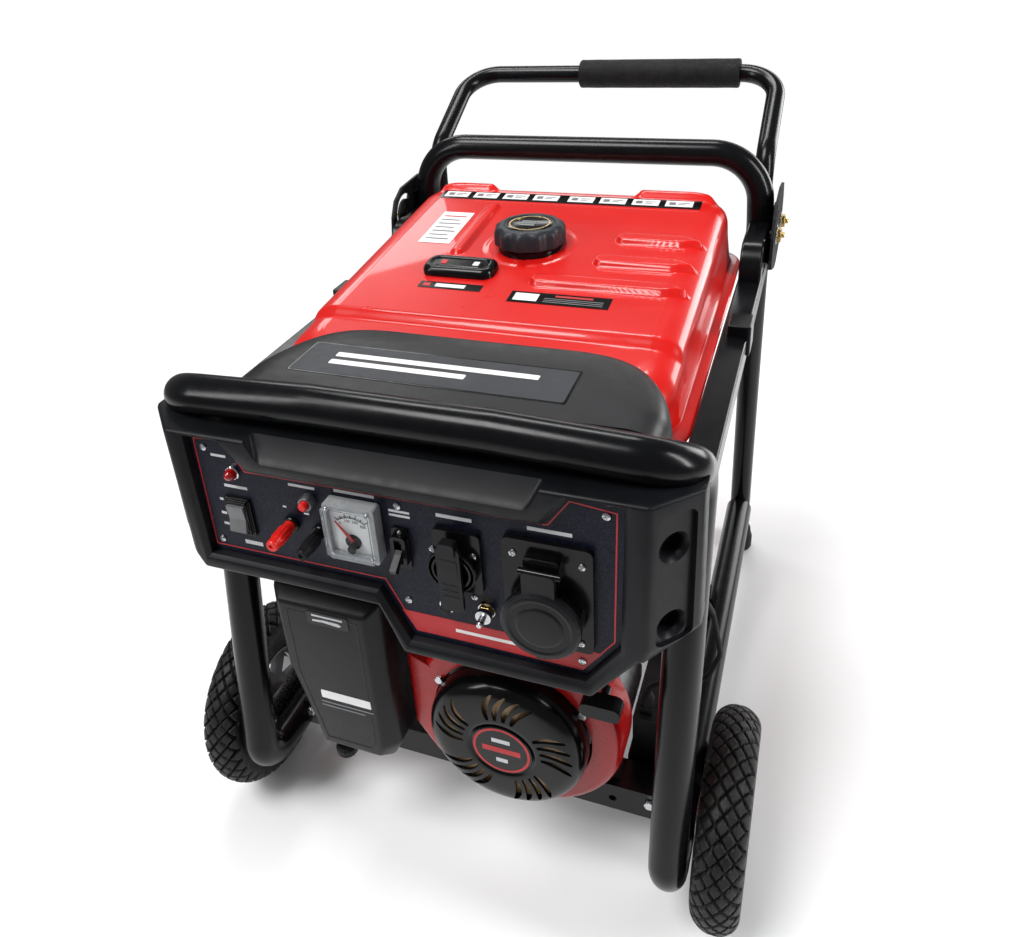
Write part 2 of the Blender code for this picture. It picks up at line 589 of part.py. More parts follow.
TX, TZ = 4.0, 556.0
frame = combine(prism(round_rect(TX - 9, TX + 9, TZ - 26, TZ + 24, 4, 2), "Y", FACE - 2, FACE),
                add=[prism(round_rect(TX - 8, TX + 8, TZ - 18, TZ + 18, 4, 2), "Y", FACE - 9, FACE - 1)],
                cut=[box(TX - 4, TX + 4, FACE - 14, FACE - 3.5, TZ - 14, TZ + 14)])
node("breaker_body", frame, BLACK, 0.4)
lever_side = [(-0.8, -3.2), (-5, -2.8), (-22, -4.2), (-23.5, 0), (-22, 4.2), (-5, 2.8), (-0.8, 3.2)]
lever = to_mesh(prism(lever_side, "X", -3.4, 3.4))
lever_seat = Matrix.Translation(Vector((TX, FACE - 5.4, TZ)) * MM)
lever.transform(lever_seat @ Matrix.Rotation(math.radians(38), 4, "X"))
node("breaker_toggle", lever, PLASTIC, 0.35, pivot=(TX, FACE - 5.4, TZ))

SX, SZ = 64.0, 552.0
small_collar = lathe([(0, -3), (25, -3), (25, -13), (23, -15), (0, -15)], (SX - 3, FACE, SZ - 2), "Y", 22)
small_well = lathe([(0, -8), (18, -8), (18, -30), (0, -30)], (SX - 3, FACE, SZ - 2), "Y", 18)
small_base = prism(round_rect(SX - 24, SX + 24, SZ - 32, SZ + 38, 4, 2), "Y", FACE - 5, FACE)
small = combine(small_base, add=[small_collar], cut=[small_well])
node("socket_small", small, BLACK, 0.38)
flap = combine(prism(round_rect(SX - 15, SX + 9, SZ - 46, SZ + 30, 4, 2), "Y", FACE - 20, FACE - 15.4),
               add=[prism(round_rect(SX - 11, SX + 5, SZ + 20, SZ + 36, 3, 2), "Y", FACE - 22, FACE - 12)],
               cut=[box(SX - 40, SX + 40, FACE - 15.4, FACE, SZ - 60, SZ + 26)])
node("socket_small_flap", flap, PLASTIC, 0.42, pivot=(SX - 3, FACE - 12, SZ + 33))

LX, LZ = 153.0, 535.0
large = combine(prism(round_rect(LX - 43, LX + 43, LZ - 60, LZ + 62, 6, 2), "Y", FACE - 6, FACE),
                add=[lathe([(0, -4), (36, -4), (36, -16), (0, -16)], (LX - 2, FACE, LZ - 18), "Y", 24),
                     prism(round_rect(LX - 20, LX + 14, LZ + 14, LZ + 50, 4, 2), "Y", FACE - 14, FACE - 4)],
                cut=[lathe([(0, -7), (30, -7), (30, -40), (0, -40)], (LX - 2, FACE, LZ - 18), "Y", 22)])
node("socket_large", large, BLACK, 0.38)
lid_disc = lathe([(0, -17), (38, -17), (39, -19), (39, -24), (36, -26), (0, -26)], (LX - 3, FACE, LZ - 20),
                 "Y", 28)
lid_tongue = prism(round_rect(LX - 19, LX + 12, LZ + 6, LZ + 40, 4, 2), "Y", FACE - 24, FACE - 17)
lid = combine(lid_disc, add=[lid_tongue])
node("socket_large_lid", lid, PLASTIC, 0.45, pivot=(LX - 3, FACE - 19, LZ + 38))

reset_body = [(0, 0.5), (6, 0.5), (6, 11), (5.2, 12), (0, 12)]
knob("ac_reset_button", 48, 496, reset_body, BLACK, 0.35, n=14)
ground = [(0, 0), (8, 0), (8, 2), (5, 2), (5, 6), (8, 6), (8, 12), (3.5, 12), (3.5, 22), (0, 23)]
knob("ground_terminal", 88, 497, ground, STEEL, 0.3, 1.0, n=12)

# ---------------------------------------------------------------- engine
CASE_Y0, CASE_Y1 = 36.0, 178.0
case_outline = [(-40, 168), (190, 168), (190, 190), (172, 214), (172, 300), (140, 338), (20, 338), (-40, 290)]
case = combine(prism(case_outline, "Y", CASE_Y0, CASE_Y1),
               cut=[lathe([(0, -70), (17, -70), (17, 160), (0, 160)], (CRANK_X, CASE_Y0, CRANK_Z), "Y", 16)])
node("crankcase", case, ALU, 0.5, 0.8)
fins = []
cyl_axis = Matrix.Translation((6, 0, 316)) @ Matrix.Rotation(math.radians(-56), 4, "Y")
barrel = moved(box(-44, 44, 62, 158, 8, 62), cyl_axis)
for k in range(5):
    fins.append(moved(box(-44 - 4 * k, 60, 50, 170, 14 + 10 * k, 18 + 10 * k), cyl_axis))
fins.append(moved(box(-56, 56, 54, 166, 61, 92), cyl_axis))
fins.append(moved(box(-44, 44, 66, 154, 91, 104), cyl_axis))
case_clear = prism(grown(case_outline, -0.6), "Y", CASE_Y0 - 0.6, CASE_Y1 + 0.6)
node("cylinder_head", combine(barrel, add=fins, cut=[case_clear]), ALU, 0.55, 0.8)

# crankshaft, flywheel and the alternator rotor turn as one
spin_centre = (CRANK_X, 0, CRANK_Z)
flywheel = combine(lathe([(0, -8), (12, -8), (12, 0), (30, 0), (30, 6), (92, 6), (92, 24), (40, 28), (14, 28),
                          (14, 204), (11, 204), (11, 452), (0, 452)], spin_centre, "Y", 28))
node("flywheel_crankshaft", flywheel, (0.3, 0.3, 0.31), 0.45, 0.9, pivot=(CRANK_X, 10, CRANK_Z))

housing_outline = []
for k in range(26):
    t = math.radians(-128 + 278 * k / 25)
    housing_outline.append((CRANK_X + 4 + 128 * math.cos(t), CRANK_Z + 4 + 128 * math.sin(t)))
housing_outline += [(-56, 330), (-56, 210), (-30, 168)]
bore = lathe([(0, -60), (97, -60), (97, 27.5), (84, 27.5), (84, 90), (0, 90)], (CRANK_X, 0, CRANK_Z), "Y", 28)
shell = prism(housing_outline, "Y", -14, 35)
base_step = box(-120, 260, 17.4, 40, 100, 168.2)
node("blower_housing", combine(shell, cut=[bore, base_step]), RED, 0.25, sharp=40)

spin_axis = (CRANK_X, 0, CRANK_Z)
cover_outer = lathe([(0, -50), (72, -50), (86, -46), (94, -36), (95, -16), (0, -16)], spin_axis, "Y", 32)
cover_inner = lathe([(0, -46.5), (71, -46.5), (83, -42), (89, -34), (90, -5), (0, -5)], spin_axis, "Y", 28)
slots = []
for group in range(5):
    for k in (-1, 0, 1):
        t = math.radians(90 + 72 * group + 15 * k)
        slot = prism([(40, -3.6), (72, -5.4), (72, 5.4), (40, 3.6)], "Y", -60, -40)
        slots.append(moved(slot, Matrix.Translation((CRANK_X, 0, CRANK_Z)) @ Matrix.Rotation(-t, 4, "Y")))
pin = lathe([(0, -48), (5.6, -48), (5.6, -18), (0, -18)], (CRANK_X, 0, CRANK_Z), "Y", 14)
cover = combine(cover_outer, cut=[cover_inner] + slots)
node("recoil_cover", combine(cover, add=[pin]), BLACK, 0.12, sharp=40)
pulley = closed_lathe([(6, -40), (40, -40), (40, -36), (30, -34), (30, -26), (40, -24), (40, -20), (6, -20)],
                      (CRANK_X, 0, CRANK_Z), "Y", 22)
node("recoil_pulley", pulley, PLASTIC, 0.5, pivot=(CRANK_X, -30, CRANK_Z))
grip_x, grip_z = 190.0, 352.0
pull = combine(prism(round_rect(grip_x - 22, grip_x + 22, grip_z - 9, grip_z + 9, 8, 3), "Y", -52, -32),
               add=[lathe([(0, -6), (5, -6), (5, 14), (0, 14)], (grip_x, -30, grip_z), "Y", 10)])
node("recoil_grip", pull, RUBBER, 0.5, pivot=(grip_x, -42, grip_z))

# air filter in front of the cylinder, to the left of the recoil starter
back_outline = [(-206, 420), (-64, 420), (-66, 190), (-78, 166), (-172, 166), (-206, 312)]
front_outline = [(-192, 408), (-78, 408), (-80, 196), (-88, 180), (-164, 180), (-192, 306)]
mid = [(x, -6.0, z) for x, z in back_outline]
cover = loft([mid, [(x, -34, z) for x, z in back_outline], [(x, -52, z) for x, z in front_outline]])
knob_hole = lathe([(0, -20), (6, -20), (6, 60), (0, 60)], (-146, -36, 150), "Z", 10)
node("air_filter_cover", combine(cover, cut=[knob_hole]), PLASTIC, 0.45)
back = prism([(x * 0.99 - 1, z) for x, z in back_outline], "Y", -5.4, 26)
lug = box(-232, -203, 18.6, 24, 362, 382)
lug_pin = lathe([(0, 8), (3, 8), (3, 22), (0, 22)], (-222, 0, 372), "Y", 10)
housing_clear = prism(grown([(x, z) for x, z in housing_outline], -0.6), "Y", -14.6, 35.6)
cylinder_clear = moved(box(-62, 62, 48, 172, 5, 110), cyl_axis)
intake = box(-100, -68, 20, 58, 330, 372)
node("air_filter_base", combine(back, add=[intake, lug, lug_pin], cut=[housing_clear, cylinder_clear]),
     PLASTIC, 0.5)
screw = lathe([(0, 0), (12, 0), (14, 3), (14, 11), (11, 14.5), (5.4, 14.5), (5.4, 40), (0, 40)],
              (-146, -36, 150.5), "Z", 14)
node("air_filter_knob", screw, PLASTIC, 0.45, pivot=(-146, -36, 150.5))
choke_hub = lathe([(0, -4), (9, -4), (9, 4), (0, 4)], (0, 0, 0), "Y", 12)
choke_hole = lathe([(0, -9), (3.3, -9), (3.3, 9), (0, 9)], (0, 0, 0), "Y", 10)
choke_tip = prism(round_rect(-9, 9, 34, 48, 4, 2), "Y", -4, 4)
choke = combine(box(-3, 3, -3, 3, 0, 40), add=[choke_hub, choke_tip], cut=[choke_hole])
choke_seat = Matrix.Translation(Vector((-222, 14, 372)) * MM)
choke.transform(choke_seat @ Matrix.Rotation(math.radians(-25), 4, "Y"))
node("choke_lever", choke, PLASTIC, 0.45, pivot=(-222, 14, 372))

muffler = loft([[(x, y, z) for x, z in round_rect(-196 + d, -50 - d, 300 + d, 420 - d, 30, 3)]
                for y, d in ((196, 14), (204, 0), (372, 0), (380, 14))])
tail = sweep(fillet_path([(-150, 300, 400, 0), (-150, 330, 438, 18), (-150, 372, 438, 0)]), 13, 10)
inlet = lathe([(0, 166.6), (15, 166.6), (15, 210), (0, 210)], (-74, 0, 350), "Y", 12)
node("muffler", combine(muffler, add=[tail, inlet]), STEEL, 0.45, 0.9)

# ---------------------------------------------------------------- alternator
feet = [box(CRANK_X + x, CRANK_X + x + 66, 410, 440, 168, 202) for x in (-96, 30)]
shaft_bore = lathe([(0, 150), (18, 150), (18, 470), (0, 470)], (CRANK_X, 0, CRANK_Z), "Y", 16)
inner_room = lathe([(0, 214), (92, 214), (92, 390), (0, 390)], (CRANK_X, 0, CRANK_Z), "Y", 24)
body = lathe([(0, 179), (86, 179), (104, 196), (104, 394), (80, 404), (80, 432), (66, 448), (0, 448)],
             (CRANK_X, 0, CRANK_Z), "Y", 28)
node("alternator_housing", combine(body, add=feet, cut=[shaft_bore, inner_room]), ALU, 0.5, 0.7)
rotor = closed_lathe([(11.4, 226), (74, 226), (78, 230), (78, 384), (74, 388), (11.4, 388)],
                     (CRANK_X, 0, CRANK_Z), "Y", 24)
node("alternator_rotor", rotor, (0.32, 0.22, 0.12), 0.5, 0.6, pivot=(CRANK_X, 300, CRANK_Z))


# ---------------------------------------------------------------- mounts, battery and cable
def mount(name, y, spots):
    """Steel strap on a cross-member with two rubber pads that carry the engine or alternator."""
    strap = box(min(spots) - 26, max(spots) + 26, y - 15, y + 15, 150.4, 153)
    pad = [(0, 152), (17, 152), (14, 155), (14, 163), (17, 165), (17, 167.6), (0, 167.6)]
    pads = [lathe(pad, (x, y, 0), "Z", 14) for x in spots]
    node(name, combine(strap, add=pads), RUBBER, 0.85)


mount("mount_front", 43, (-16, 168))
mount("mount_rear", 428, (CRANK_X - 78, CRANK_X + 78))

tray = combine(box(196, 246 - GAP, 66, 214, 112, 116), add=[box(196, 200, 66, 214, 112, 150),
                                                          box(196, 246 - GAP, 66, 70, 112, 134)])
node("battery_tray", tray, BLACK, 0.4)
battery = combine(box(200.6, 243, 70.6, 212, 116.4, 214),
                  add=[box(208, 222, 78, 94, 213, 226), box(208, 222, 188, 204, 213, 226)])
node("battery", battery, (0.05, 0.05, 0.055), 0.4)
cable_path = fillet_path([(215, 86, 227, 0), (215, 86, 262, 18), (262, 92, 262, 16.5), (284, 98, 282, 14),
                          (296, 100, 318, 30), (284, 98, 380, 30), (248, 30, 520, 20), (219.6, 30, 520, 0)])
cable = combine(sweep(cable_path, 3.2, 8),
                add=[lathe([(0, 0), (7, 0), (7, 14), (0, 14)], (215, 86, 226.6), "Z", 10)])
node("battery_cable", cable, (0.05, 0.05, 0.05), 0.5)
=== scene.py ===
"""Looks of an open-frame portable petrol generator: red tank, black tubes, control panel and engine.

Lengths are in millimetres in the machine's own frame: X to the right, Y from the panel to the rear, Z up.
at() turns them into metres about the middle of the machine's depth. Angles are in degrees.
"""
import math
import bpy
import bmesh
from mathutils import Vector, Matrix
from mathutils.noise import noise as value_noise


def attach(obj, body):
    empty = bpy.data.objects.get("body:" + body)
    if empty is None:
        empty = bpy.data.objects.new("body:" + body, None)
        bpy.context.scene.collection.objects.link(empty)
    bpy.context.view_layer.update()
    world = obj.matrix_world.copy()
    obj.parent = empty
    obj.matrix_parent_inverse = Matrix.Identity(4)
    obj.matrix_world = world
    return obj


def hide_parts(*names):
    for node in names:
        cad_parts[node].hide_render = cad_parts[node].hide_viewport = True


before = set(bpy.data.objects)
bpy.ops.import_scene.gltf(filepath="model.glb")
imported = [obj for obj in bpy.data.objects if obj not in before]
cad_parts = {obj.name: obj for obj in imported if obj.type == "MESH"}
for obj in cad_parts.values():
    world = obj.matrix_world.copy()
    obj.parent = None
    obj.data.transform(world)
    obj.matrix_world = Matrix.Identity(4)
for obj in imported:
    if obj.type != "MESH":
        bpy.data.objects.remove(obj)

MM = 0.001
Y_CENTRE = 369.9
SIDES = (("left", -1), ("right", 1))
# radii of the front tube, rear hoop, rear legs and handle, and half the distance between the legs
TUBE_R, LOOP_R, LEG_R, HANDLE_R = 21.0, 19.0, 17.0, 14.0
HALF_W = 267.0
# centre lines: front bar, base tubes, side rails, rear hoop, wheels and handle
BAR_Y, BAR_Z = -57.0, 679.0
BASE_Z = 106.0
RAIL_X0, RAIL_X1, RAIL_TOP, RAIL_H = 251.0, 283.0, 620.0, 31.0
HOOP_Y, HOOP_Z = 622.0, 763.0
WHEEL_R, WHEEL_X, WHEEL_Y = 125.0, 321.0, 39.0
PIVOT_Y, PIVOT_Z, HANDLE_X = 664.0, 652.0, 264.0
HANDLE_BEND_Z, HANDLE_REACH, HANDLE_LEAN = 742.0, 200.0, 62.0
# tank: rise of its top per millimetre toward the rear, and the filler cap's centre
TANK_SLOPE = 0.1061
CAP_X, CAP_Y = -6.0, 372.0
# control plate's front, the plane its controls stand on, and the centres of the meter and reset buttons
PANEL_Y = -84.0
FACE = -84.4
METER_X, METER_Z = -44.0, 571.0
DC_RESET, AC_RESET = (-95, 592), (48, 496)
# crankshaft's axis, which the starter, blower and alternator share, and the battery's terminals
CRANK_X, CRANK_Z = 75.0, 250.0
CRANK = (CRANK_X, 0, CRANK_Z)
TERMINAL_X, TERMINAL_YS = 215, (86, 196)

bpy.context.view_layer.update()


# ---------------------------------------------------------------- shapes
def at(x, y, z):
    """Point in metres in the shared frame."""
    return Vector((x * MM, (y - Y_CENTRE) * MM, z * MM))


def along(axis, u, v, w):
    """Point with w along the axis and u, v across it."""
    return {"X": (w, u, v), "Y": (u, w, v), "Z": (u, v, w)}[axis]


def polar(u, v, r, degrees):
    """Point at a distance and an angle from (u, v)."""
    t = math.radians(degrees)
    return u + r * math.cos(t), v + r * math.sin(t)


def hexagon(u, v, r):
    return [polar(u, v, r, 60 * k) for k in range(6)]


def lobed(u, v, r, wave, n):
    """Circle whose radius rises and falls twelve times."""
    angles = [2 * math.pi * k / n for k in range(n)]
    radii = [r + wave * math.cos(12 * t) for t in angles]
    return [(u + rr * math.cos(t), v + rr * math.sin(t)) for rr, t in zip(radii, angles)]


def round_rect(x0, x1, y0, y1, r, seg=8):
    corners = ((x1 - r, y1 - r, 0), (x0 + r, y1 - r, 90), (x0 + r, y0 + r, 180), (x1 - r, y0 + r, 270))
    return [polar(u, v, r, start + 90.0 * i / seg) for u, v, start in corners for i in range(seg + 1)]


def belt(a, b, n):
    """Quads between two closed rows of n vertices, which start at a and at b."""
    return [[a + i, a + (i + 1) % n, b + (i + 1) % n, b + i] for i in range(n)]


def loft(rings):
    """Skin over rings of equally many points, closed at both ends."""
    n = len(rings[0])
    verts = [p for ring in rings for p in ring]
    faces = [list(range(n)), list(range(len(verts) - n, len(verts)))]
    for k in range(len(rings) - 1):
        faces += belt(k * n, (k + 1) * n, n)
    return verts, faces


def prism(poly, axis, a, b):
    """Extrude a closed 2-D outline along one axis, from a to b."""
    return loft([[along(axis, u, v, w) for u, v in poly] for w in (a, b)])


def box(x0, x1, y0, y1, z0, z1):
    return prism([(x0, y0), (x1, y0), (x1, y1), (x0, y1)], "Z", z0, z1)


def slab(x0, x1, z0, z1, r, seg, y0, y1, axis="Y"):
    """Plate with rounded corners."""
    return prism(round_rect(x0, x1, z0, z1, r, seg), axis, y0, y1)


def spun(profile, centre, axis, n):
    """One ring of points for each (radius, height) pair; a zero radius gives a single point."""
    rings = []
    for r, h in profile:
        angles = [2 * math.pi * i / n for i in range(n if r > 1e-6 else 1)]
        ring = [along(axis, r * math.cos(t), r * math.sin(t), h) for t in angles]
        rings.append([tuple(c + d for c, d in zip(centre, p)) for p in ring])
    return rings


def lathe(profile, centre, axis="Y", n=40):
    """Turn a profile about an axis; an end that is off the axis is closed flat."""
    first = [(0, profile[0][1])] if profile[0][0] else []
    last = [(0, profile[-1][1])] if profile[-1][0] else []
    verts, rows, faces = [], [], []
    for ring in spun(first + profile + last, centre, axis, n):
        rows.append(range(len(verts), len(verts) + len(ring)))
        verts += ring
    for a, b in zip(rows[:-1], rows[1:]):
        for i in range(n):
            j = (i + 1) % n
            quad = [a[i % len(a)], a[j % len(a)], b[j % len(b)], b[i % len(b)]]
            faces.append([q for k, q in enumerate(quad) if q not in quad[:k]])
    return verts, faces


def ring_solid(profile, centre, axis="Y", n=40):
    """Turn a closed profile: a ring with a hole through it."""
    rings = spun(profile, centre, axis, n)
    verts = [p for ring in rings for p in ring]
    m = len(rings)
    return verts, [face for k in range(m) for face in belt(k * n, (k + 1) % m * n, n)]


def band(r0, r1, h0, h1, centre, axis="Y", n=40):
    """Flat ring of rectangular section."""
    return ring_solid([(r0, h0), (r1, h0), (r1, h1), (r0, h1)], centre, axis, n)


def merged(shapes):
    verts, faces = [], []
    for v, f in shapes:
        base = len(verts)
        verts += list(v)
        faces += [[i + base for i in face] for face in f]
    return verts, faces


def moved(shape, matrix):
    return [tuple(matrix @ Vector(v)) for v in shape[0]], shape[1]


def placed(centre, degrees, axis):
    """Matrix that turns about an axis through the origin and then moves to the centre."""
    return Matrix.Translation(centre) @ Matrix.Rotation(math.radians(degrees), 4, axis)


def fillet_path(points, seg=14):
    """Replace the corners of a polyline by arcs; points are (x, y, z, radius)."""
    out = [Vector(points[0][:3])]
    for i in range(1, len(points) - 1):
        p, r = Vector(points[i][:3]), points[i][3]
        a = (Vector(points[i - 1][:3]) - p).normalized()
        b = (Vector(points[i + 1][:3]) - p).normalized()
        half = a.angle(b) / 2
        if r <= 0 or half > math.radians(89.5):
            out.append(p)
            continue
        centre = p + (a + b).normalized() * (r / math.sin(half))
        reach = r / math.tan(half)
        va, vb = p + a * reach - centre, p + b * reach - centre
        axis = va.cross(vb).normalized()
        for k in range(seg + 1):
            out.append(centre + Matrix.Rotation(va.angle(vb) * k / seg, 3, axis) @ va)
    out.append(Vector(points[-1][:3]))
    return out


def mirrored(half, seg=16):
    """Path from left to right through a half path, with its corners rounded."""
    return fillet_path([(-x, y, z, r) for x, y, z, r in half] + list(reversed(half)), seg)


def sweep(path, r, n=32, cuts=()):
    """Round bar along a path; cuts are (which end, height) of level planes the ends are trimmed to."""
    tang = []
    for i in range(len(path)):
        a = path[i] - path[i - 1] if i > 0 else path[1] - path[0]
        b = path[i + 1] - path[i] if i < len(path) - 1 else path[-1] - path[-2]
        tang.append((a.normalized() + b.normalized()).normalized())
    side = tang[0].orthogonal().normalized()
    rings = []
    for i, p in enumerate(path):
        if i:
            side = tang[i - 1].rotation_difference(tang[i]) @ side
            side = (side - tang[i] * side.dot(tang[i])).normalized()
        other = tang[i].cross(side)
        angles = [2 * math.pi * k / n for k in range(n)]
        rings.append([p + side * (r * math.cos(t)) + other * (r * math.sin(t)) for t in angles])
    for end, height in cuts:
        rings[end] = [v + tang[end] * ((height - v.z) / tang[end].z) for v in rings[end]]
    return loft([[tuple(v) for v in ring] for ring in rings])


def smooth_points(points, per=4):
    """Catmull-Rom curve through tuples of numbers."""
    out = []
    n = len(points)
    for i in range(n - 1):
        p0, p1, p2, p3 = points[max(i - 1, 0)], points[i], points[i + 1], points[min(i + 2, n - 1)]
        for k in range(per):
            t = k / per
            out.append(tuple(0.5 * (2 * b + (c - a) * t + (2 * a - 5 * b + 4 * c - d) * t * t
                                    + (3 * b - a - 3 * c + d) * t ** 3)
                             for a, b, c, d in zip(p0, p1, p2, p3)))
    out.append(tuple(points[-1]))
    return out


def step01(t):
    """Smooth step from 0 to 1."""
    t = min(max(t, 0.0), 1.0)
    return t * t * (3 - 2 * t)


def grown(poly, d):
    """Outline in a plane that faces forward, moved outward by d."""
    n, out = len(poly), []
    for i in range(n):
        p, a, b = Vector(poly[i]), Vector(poly[i - 1]), Vector(poly[(i + 1) % n])
        e1, e2 = (p - a).normalized(), (b - p).normalized()
        n1, n2 = Vector((e1.y, -e1.x)), Vector((e2.y, -e2.x))
        m = (n1 + n2).normalized()
        out.append(tuple(p - m * (d / max(m.dot(n1), 0.3))))
    return out


def facing(poly, y):
    """Points of an (x, z) outline in the plane at y."""
    return [(x, y, z) for x, z in poly]


# ---------------------------------------------------------------- objects
def new_object(name, data):
    obj = bpy.data.objects.new(name, data)
    bpy.context.scene.collection.objects.link(obj)
    return obj


def edited(mesh, change):
    """Apply a change to a mesh as a bmesh."""
    bm = bmesh.new()
    bm.from_mesh(mesh)
    change(bm)
    bm.to_mesh(mesh)
    bm.free()
    return mesh


def to_mesh(name, shape):
    mesh = bpy.data.meshes.new(name)
    mesh.from_pydata([at(*v) for v in shape[0]], [], shape[1])
    return edited(mesh, lambda bm: bmesh.ops.recalc_face_normals(bm, faces=bm.faces))


def carved(name, base, add, cut):
    """Mesh of a base mesh with shapes joined to it and cut from it."""
    target = new_object("work", base)
    helpers = []
    for shapes, operation in ((add, "UNION"), (cut, "DIFFERENCE")):
        for shape in shapes:
            helpers.append(new_object("helper", to_mesh("helper", shape)))
            mod = target.modifiers.new("work", "BOOLEAN")
            mod.operation = operation
            mod.solver = "EXACT"
            mod.object = helpers[-1]
    bpy.context.view_layer.update()
    graph = bpy.context.evaluated_depsgraph_get()
    mesh = bpy.data.meshes.new_from_object(target.evaluated_get(graph))
    for obj in helpers + [target]:
        bpy.data.objects.remove(obj, do_unlink=True)

    def clean(bm, tiny=0.00003):
        bmesh.ops.remove_doubles(bm, verts=bm.verts, dist=tiny)
        bmesh.ops.dissolve_degenerate(bm, edges=bm.edges, dist=tiny)
    mesh.name = name
    return edited(mesh, clean)


def rounded(name, shape, width, segments, chosen):
    """Mesh of a shape whose chosen edges are rounded; chosen gets the Y of both end points."""
    def bevel(bm):
        edges = [e for e in bm.edges if len(e.link_faces) == 2 and e.calc_face_angle(0.0) > math.radians(12)]
        edges = [e for e in edges if chosen(*(v.co.y / MM + Y_CENTRE for v in e.verts))]
        bmesh.ops.bevel(bm, geom=edges, offset=width * MM, offset_type="OFFSET", segments=segments,
                        profile=0.5, affect="EDGES", clamp_overlap=True)
    return edited(to_mesh(name, shape), bevel)


def soften(obj, width, segments, angle):
    """Round the sharp edges with a bevel."""
    mod = obj.modifiers.new("edges", "BEVEL")
    mod.width = width * MM
    mod.segments = segments
    mod.limit_method = "ANGLE"
    mod.angle_limit = math.radians(angle)
    mod.harden_normals = True
    mod.use_clamp_overlap = True


def piece(name, shape, look, body="frame", replaces=(), add=(), cut=(), bevel=0.0, angle=35, segments=3):
    """Make one named piece that rides on a body and may stand for CAD nodes."""
    mesh = to_mesh(name, shape) if isinstance(shape, tuple) else shape
    if add or cut:
        mesh = carved(name, mesh, add, cut)
    mesh.shade_smooth()
    mesh.materials.clear()
    mesh.materials.append(look)
    obj = new_object(name, mesh)
    if bevel:
        soften(obj, bevel, segments, angle)
    else:
        mesh.set_sharp_from_angle(angle=math.radians(angle))
    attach(obj, body)
    if replaces:
        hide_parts(*replaces)
    return obj


def dress(look, bevel, *names, segments=2):
    """Give CAD nodes their finish and rounded edges."""
    for name in names:
        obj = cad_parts[name]
        if obj.material_slots:
            for slot in obj.material_slots:
                slot.material = look
        else:
            obj.data.materials.append(look)
        if bevel:
            soften(obj, bevel, segments, 32)


# ---------------------------------------------------------------- materials
def set_inputs(node, values):
    """Set input values by name; a space in a name is written as _."""
    for key, value in values.items():
        node.inputs[key.replace("_", " ")].default_value = value


class Nodes:
    """Node tree of one new material."""

    def __init__(self, name, **values):
        self.mat = bpy.data.materials.new(name)
        self.mat.use_nodes = True
        self.tree = self.mat.node_tree
        self.bsdf = self.tree.nodes["Principled BSDF"]
        set_inputs(self.bsdf, values)
        self.place = self.add("TexCoord").outputs["Object"]

    def add(self, kind, **values):
        node = self.tree.nodes.new("ShaderNode" + kind)
        set_inputs(node, values)
        return node

    def link(self, a, b):
        self.tree.links.new(a, b)

    def noise(self, scale, detail=4.0, rough=0.5, stretch=None):
        tex = self.add("TexNoise", Scale=scale, Detail=detail, Roughness=rough)
        source = self.place
        if stretch:
            mapping = self.add("Mapping", Scale=stretch)
            self.link(source, mapping.inputs["Vector"])
            source = mapping.outputs["Vector"]
        self.link(source, tex.inputs["Vector"])
        return tex.outputs["Fac"]

    def cells(self, scale):
        tex = self.add("TexVoronoi", Scale=scale)
        self.link(self.place, tex.inputs["Vector"])
        return tex

    def ramp(self, fac, stops):
        node = self.add("ValToRGB")
        for element, (pos, colour) in zip(node.color_ramp.elements, stops):
            element.position = pos
            element.color = (*colour, 1.0)
        self.link(fac, node.inputs["Fac"])
        return node.outputs["Color"]

    def span(self, fac, low, high):
        node = self.add("MapRange", From_Min=0.3, From_Max=0.7, To_Min=low, To_Max=high)
        self.link(fac, node.inputs["Value"])
        return node.outputs["Result"]

    def bump(self, height, strength, distance, normal=None):
        node = self.add("Bump", Strength=strength, Distance=distance)
        self.link(height, node.inputs["Height"])
        if normal:
            self.link(normal, node.inputs["Normal"])
        return node.outputs["Normal"]

    def finish(self, colour, rough, normal=None):
        """Link what the surface depends on and return the material."""
        for key, source in (("Base Color", colour), ("Roughness", rough), ("Normal", normal)):
            if source:
                self.link(source, self.bsdf.inputs[key])
        return self.mat


def surface(name, colour, light, rough, tone=30.0, spread=0.05, grain=900.0, bump=0.12, depth=0.0004,
            wave=0.0, stretch=None, specular=0.5, **values):
    """Finish with colour drift, uneven gloss and a fine surface texture."""
    n = Nodes(name, Specular_IOR_Level=specular, **values)
    base = n.ramp(n.noise(tone, 5.0, 0.55), [(0.3, colour), (0.75, light)])
    gloss = n.span(n.noise(tone * 2.7, 6.0, 0.6, stretch), rough - spread, rough + spread)
    normal = n.bump(n.noise(grain, 3.0, 0.6, stretch), bump, depth)
    if wave:
        normal = n.bump(n.noise(28.0, 1.0, 0.4), wave, 0.002, normal)
    return n.finish(base, gloss, normal)


def fleck_paint(name, base, fleck, rough):
    """Dark paint with fine metal flakes."""
    n = Nodes(name, Metallic=0.15, Specular_IOR_Level=0.2)
    grey = n.add("RGBToBW")
    n.link(n.cells(1400.0).outputs["Color"], grey.inputs["Color"])
    flakes = grey.outputs["Val"]
    return n.finish(n.ramp(flakes, [(0.45, base), (0.72, fleck)]),
                    n.span(n.noise(60.0), rough - 0.06, rough + 0.06), n.bump(flakes, 0.25, 0.0002))


def clear_plastic(name, tint, rough):
    n = Nodes(name, Transmission_Weight=1.0, IOR=1.12)
    return n.finish(n.ramp(n.noise(40.0), [(0.2, tint), (0.9, (0.98, 0.99, 1.0))]),
                    n.span(n.noise(90.0), rough, rough + 0.05))


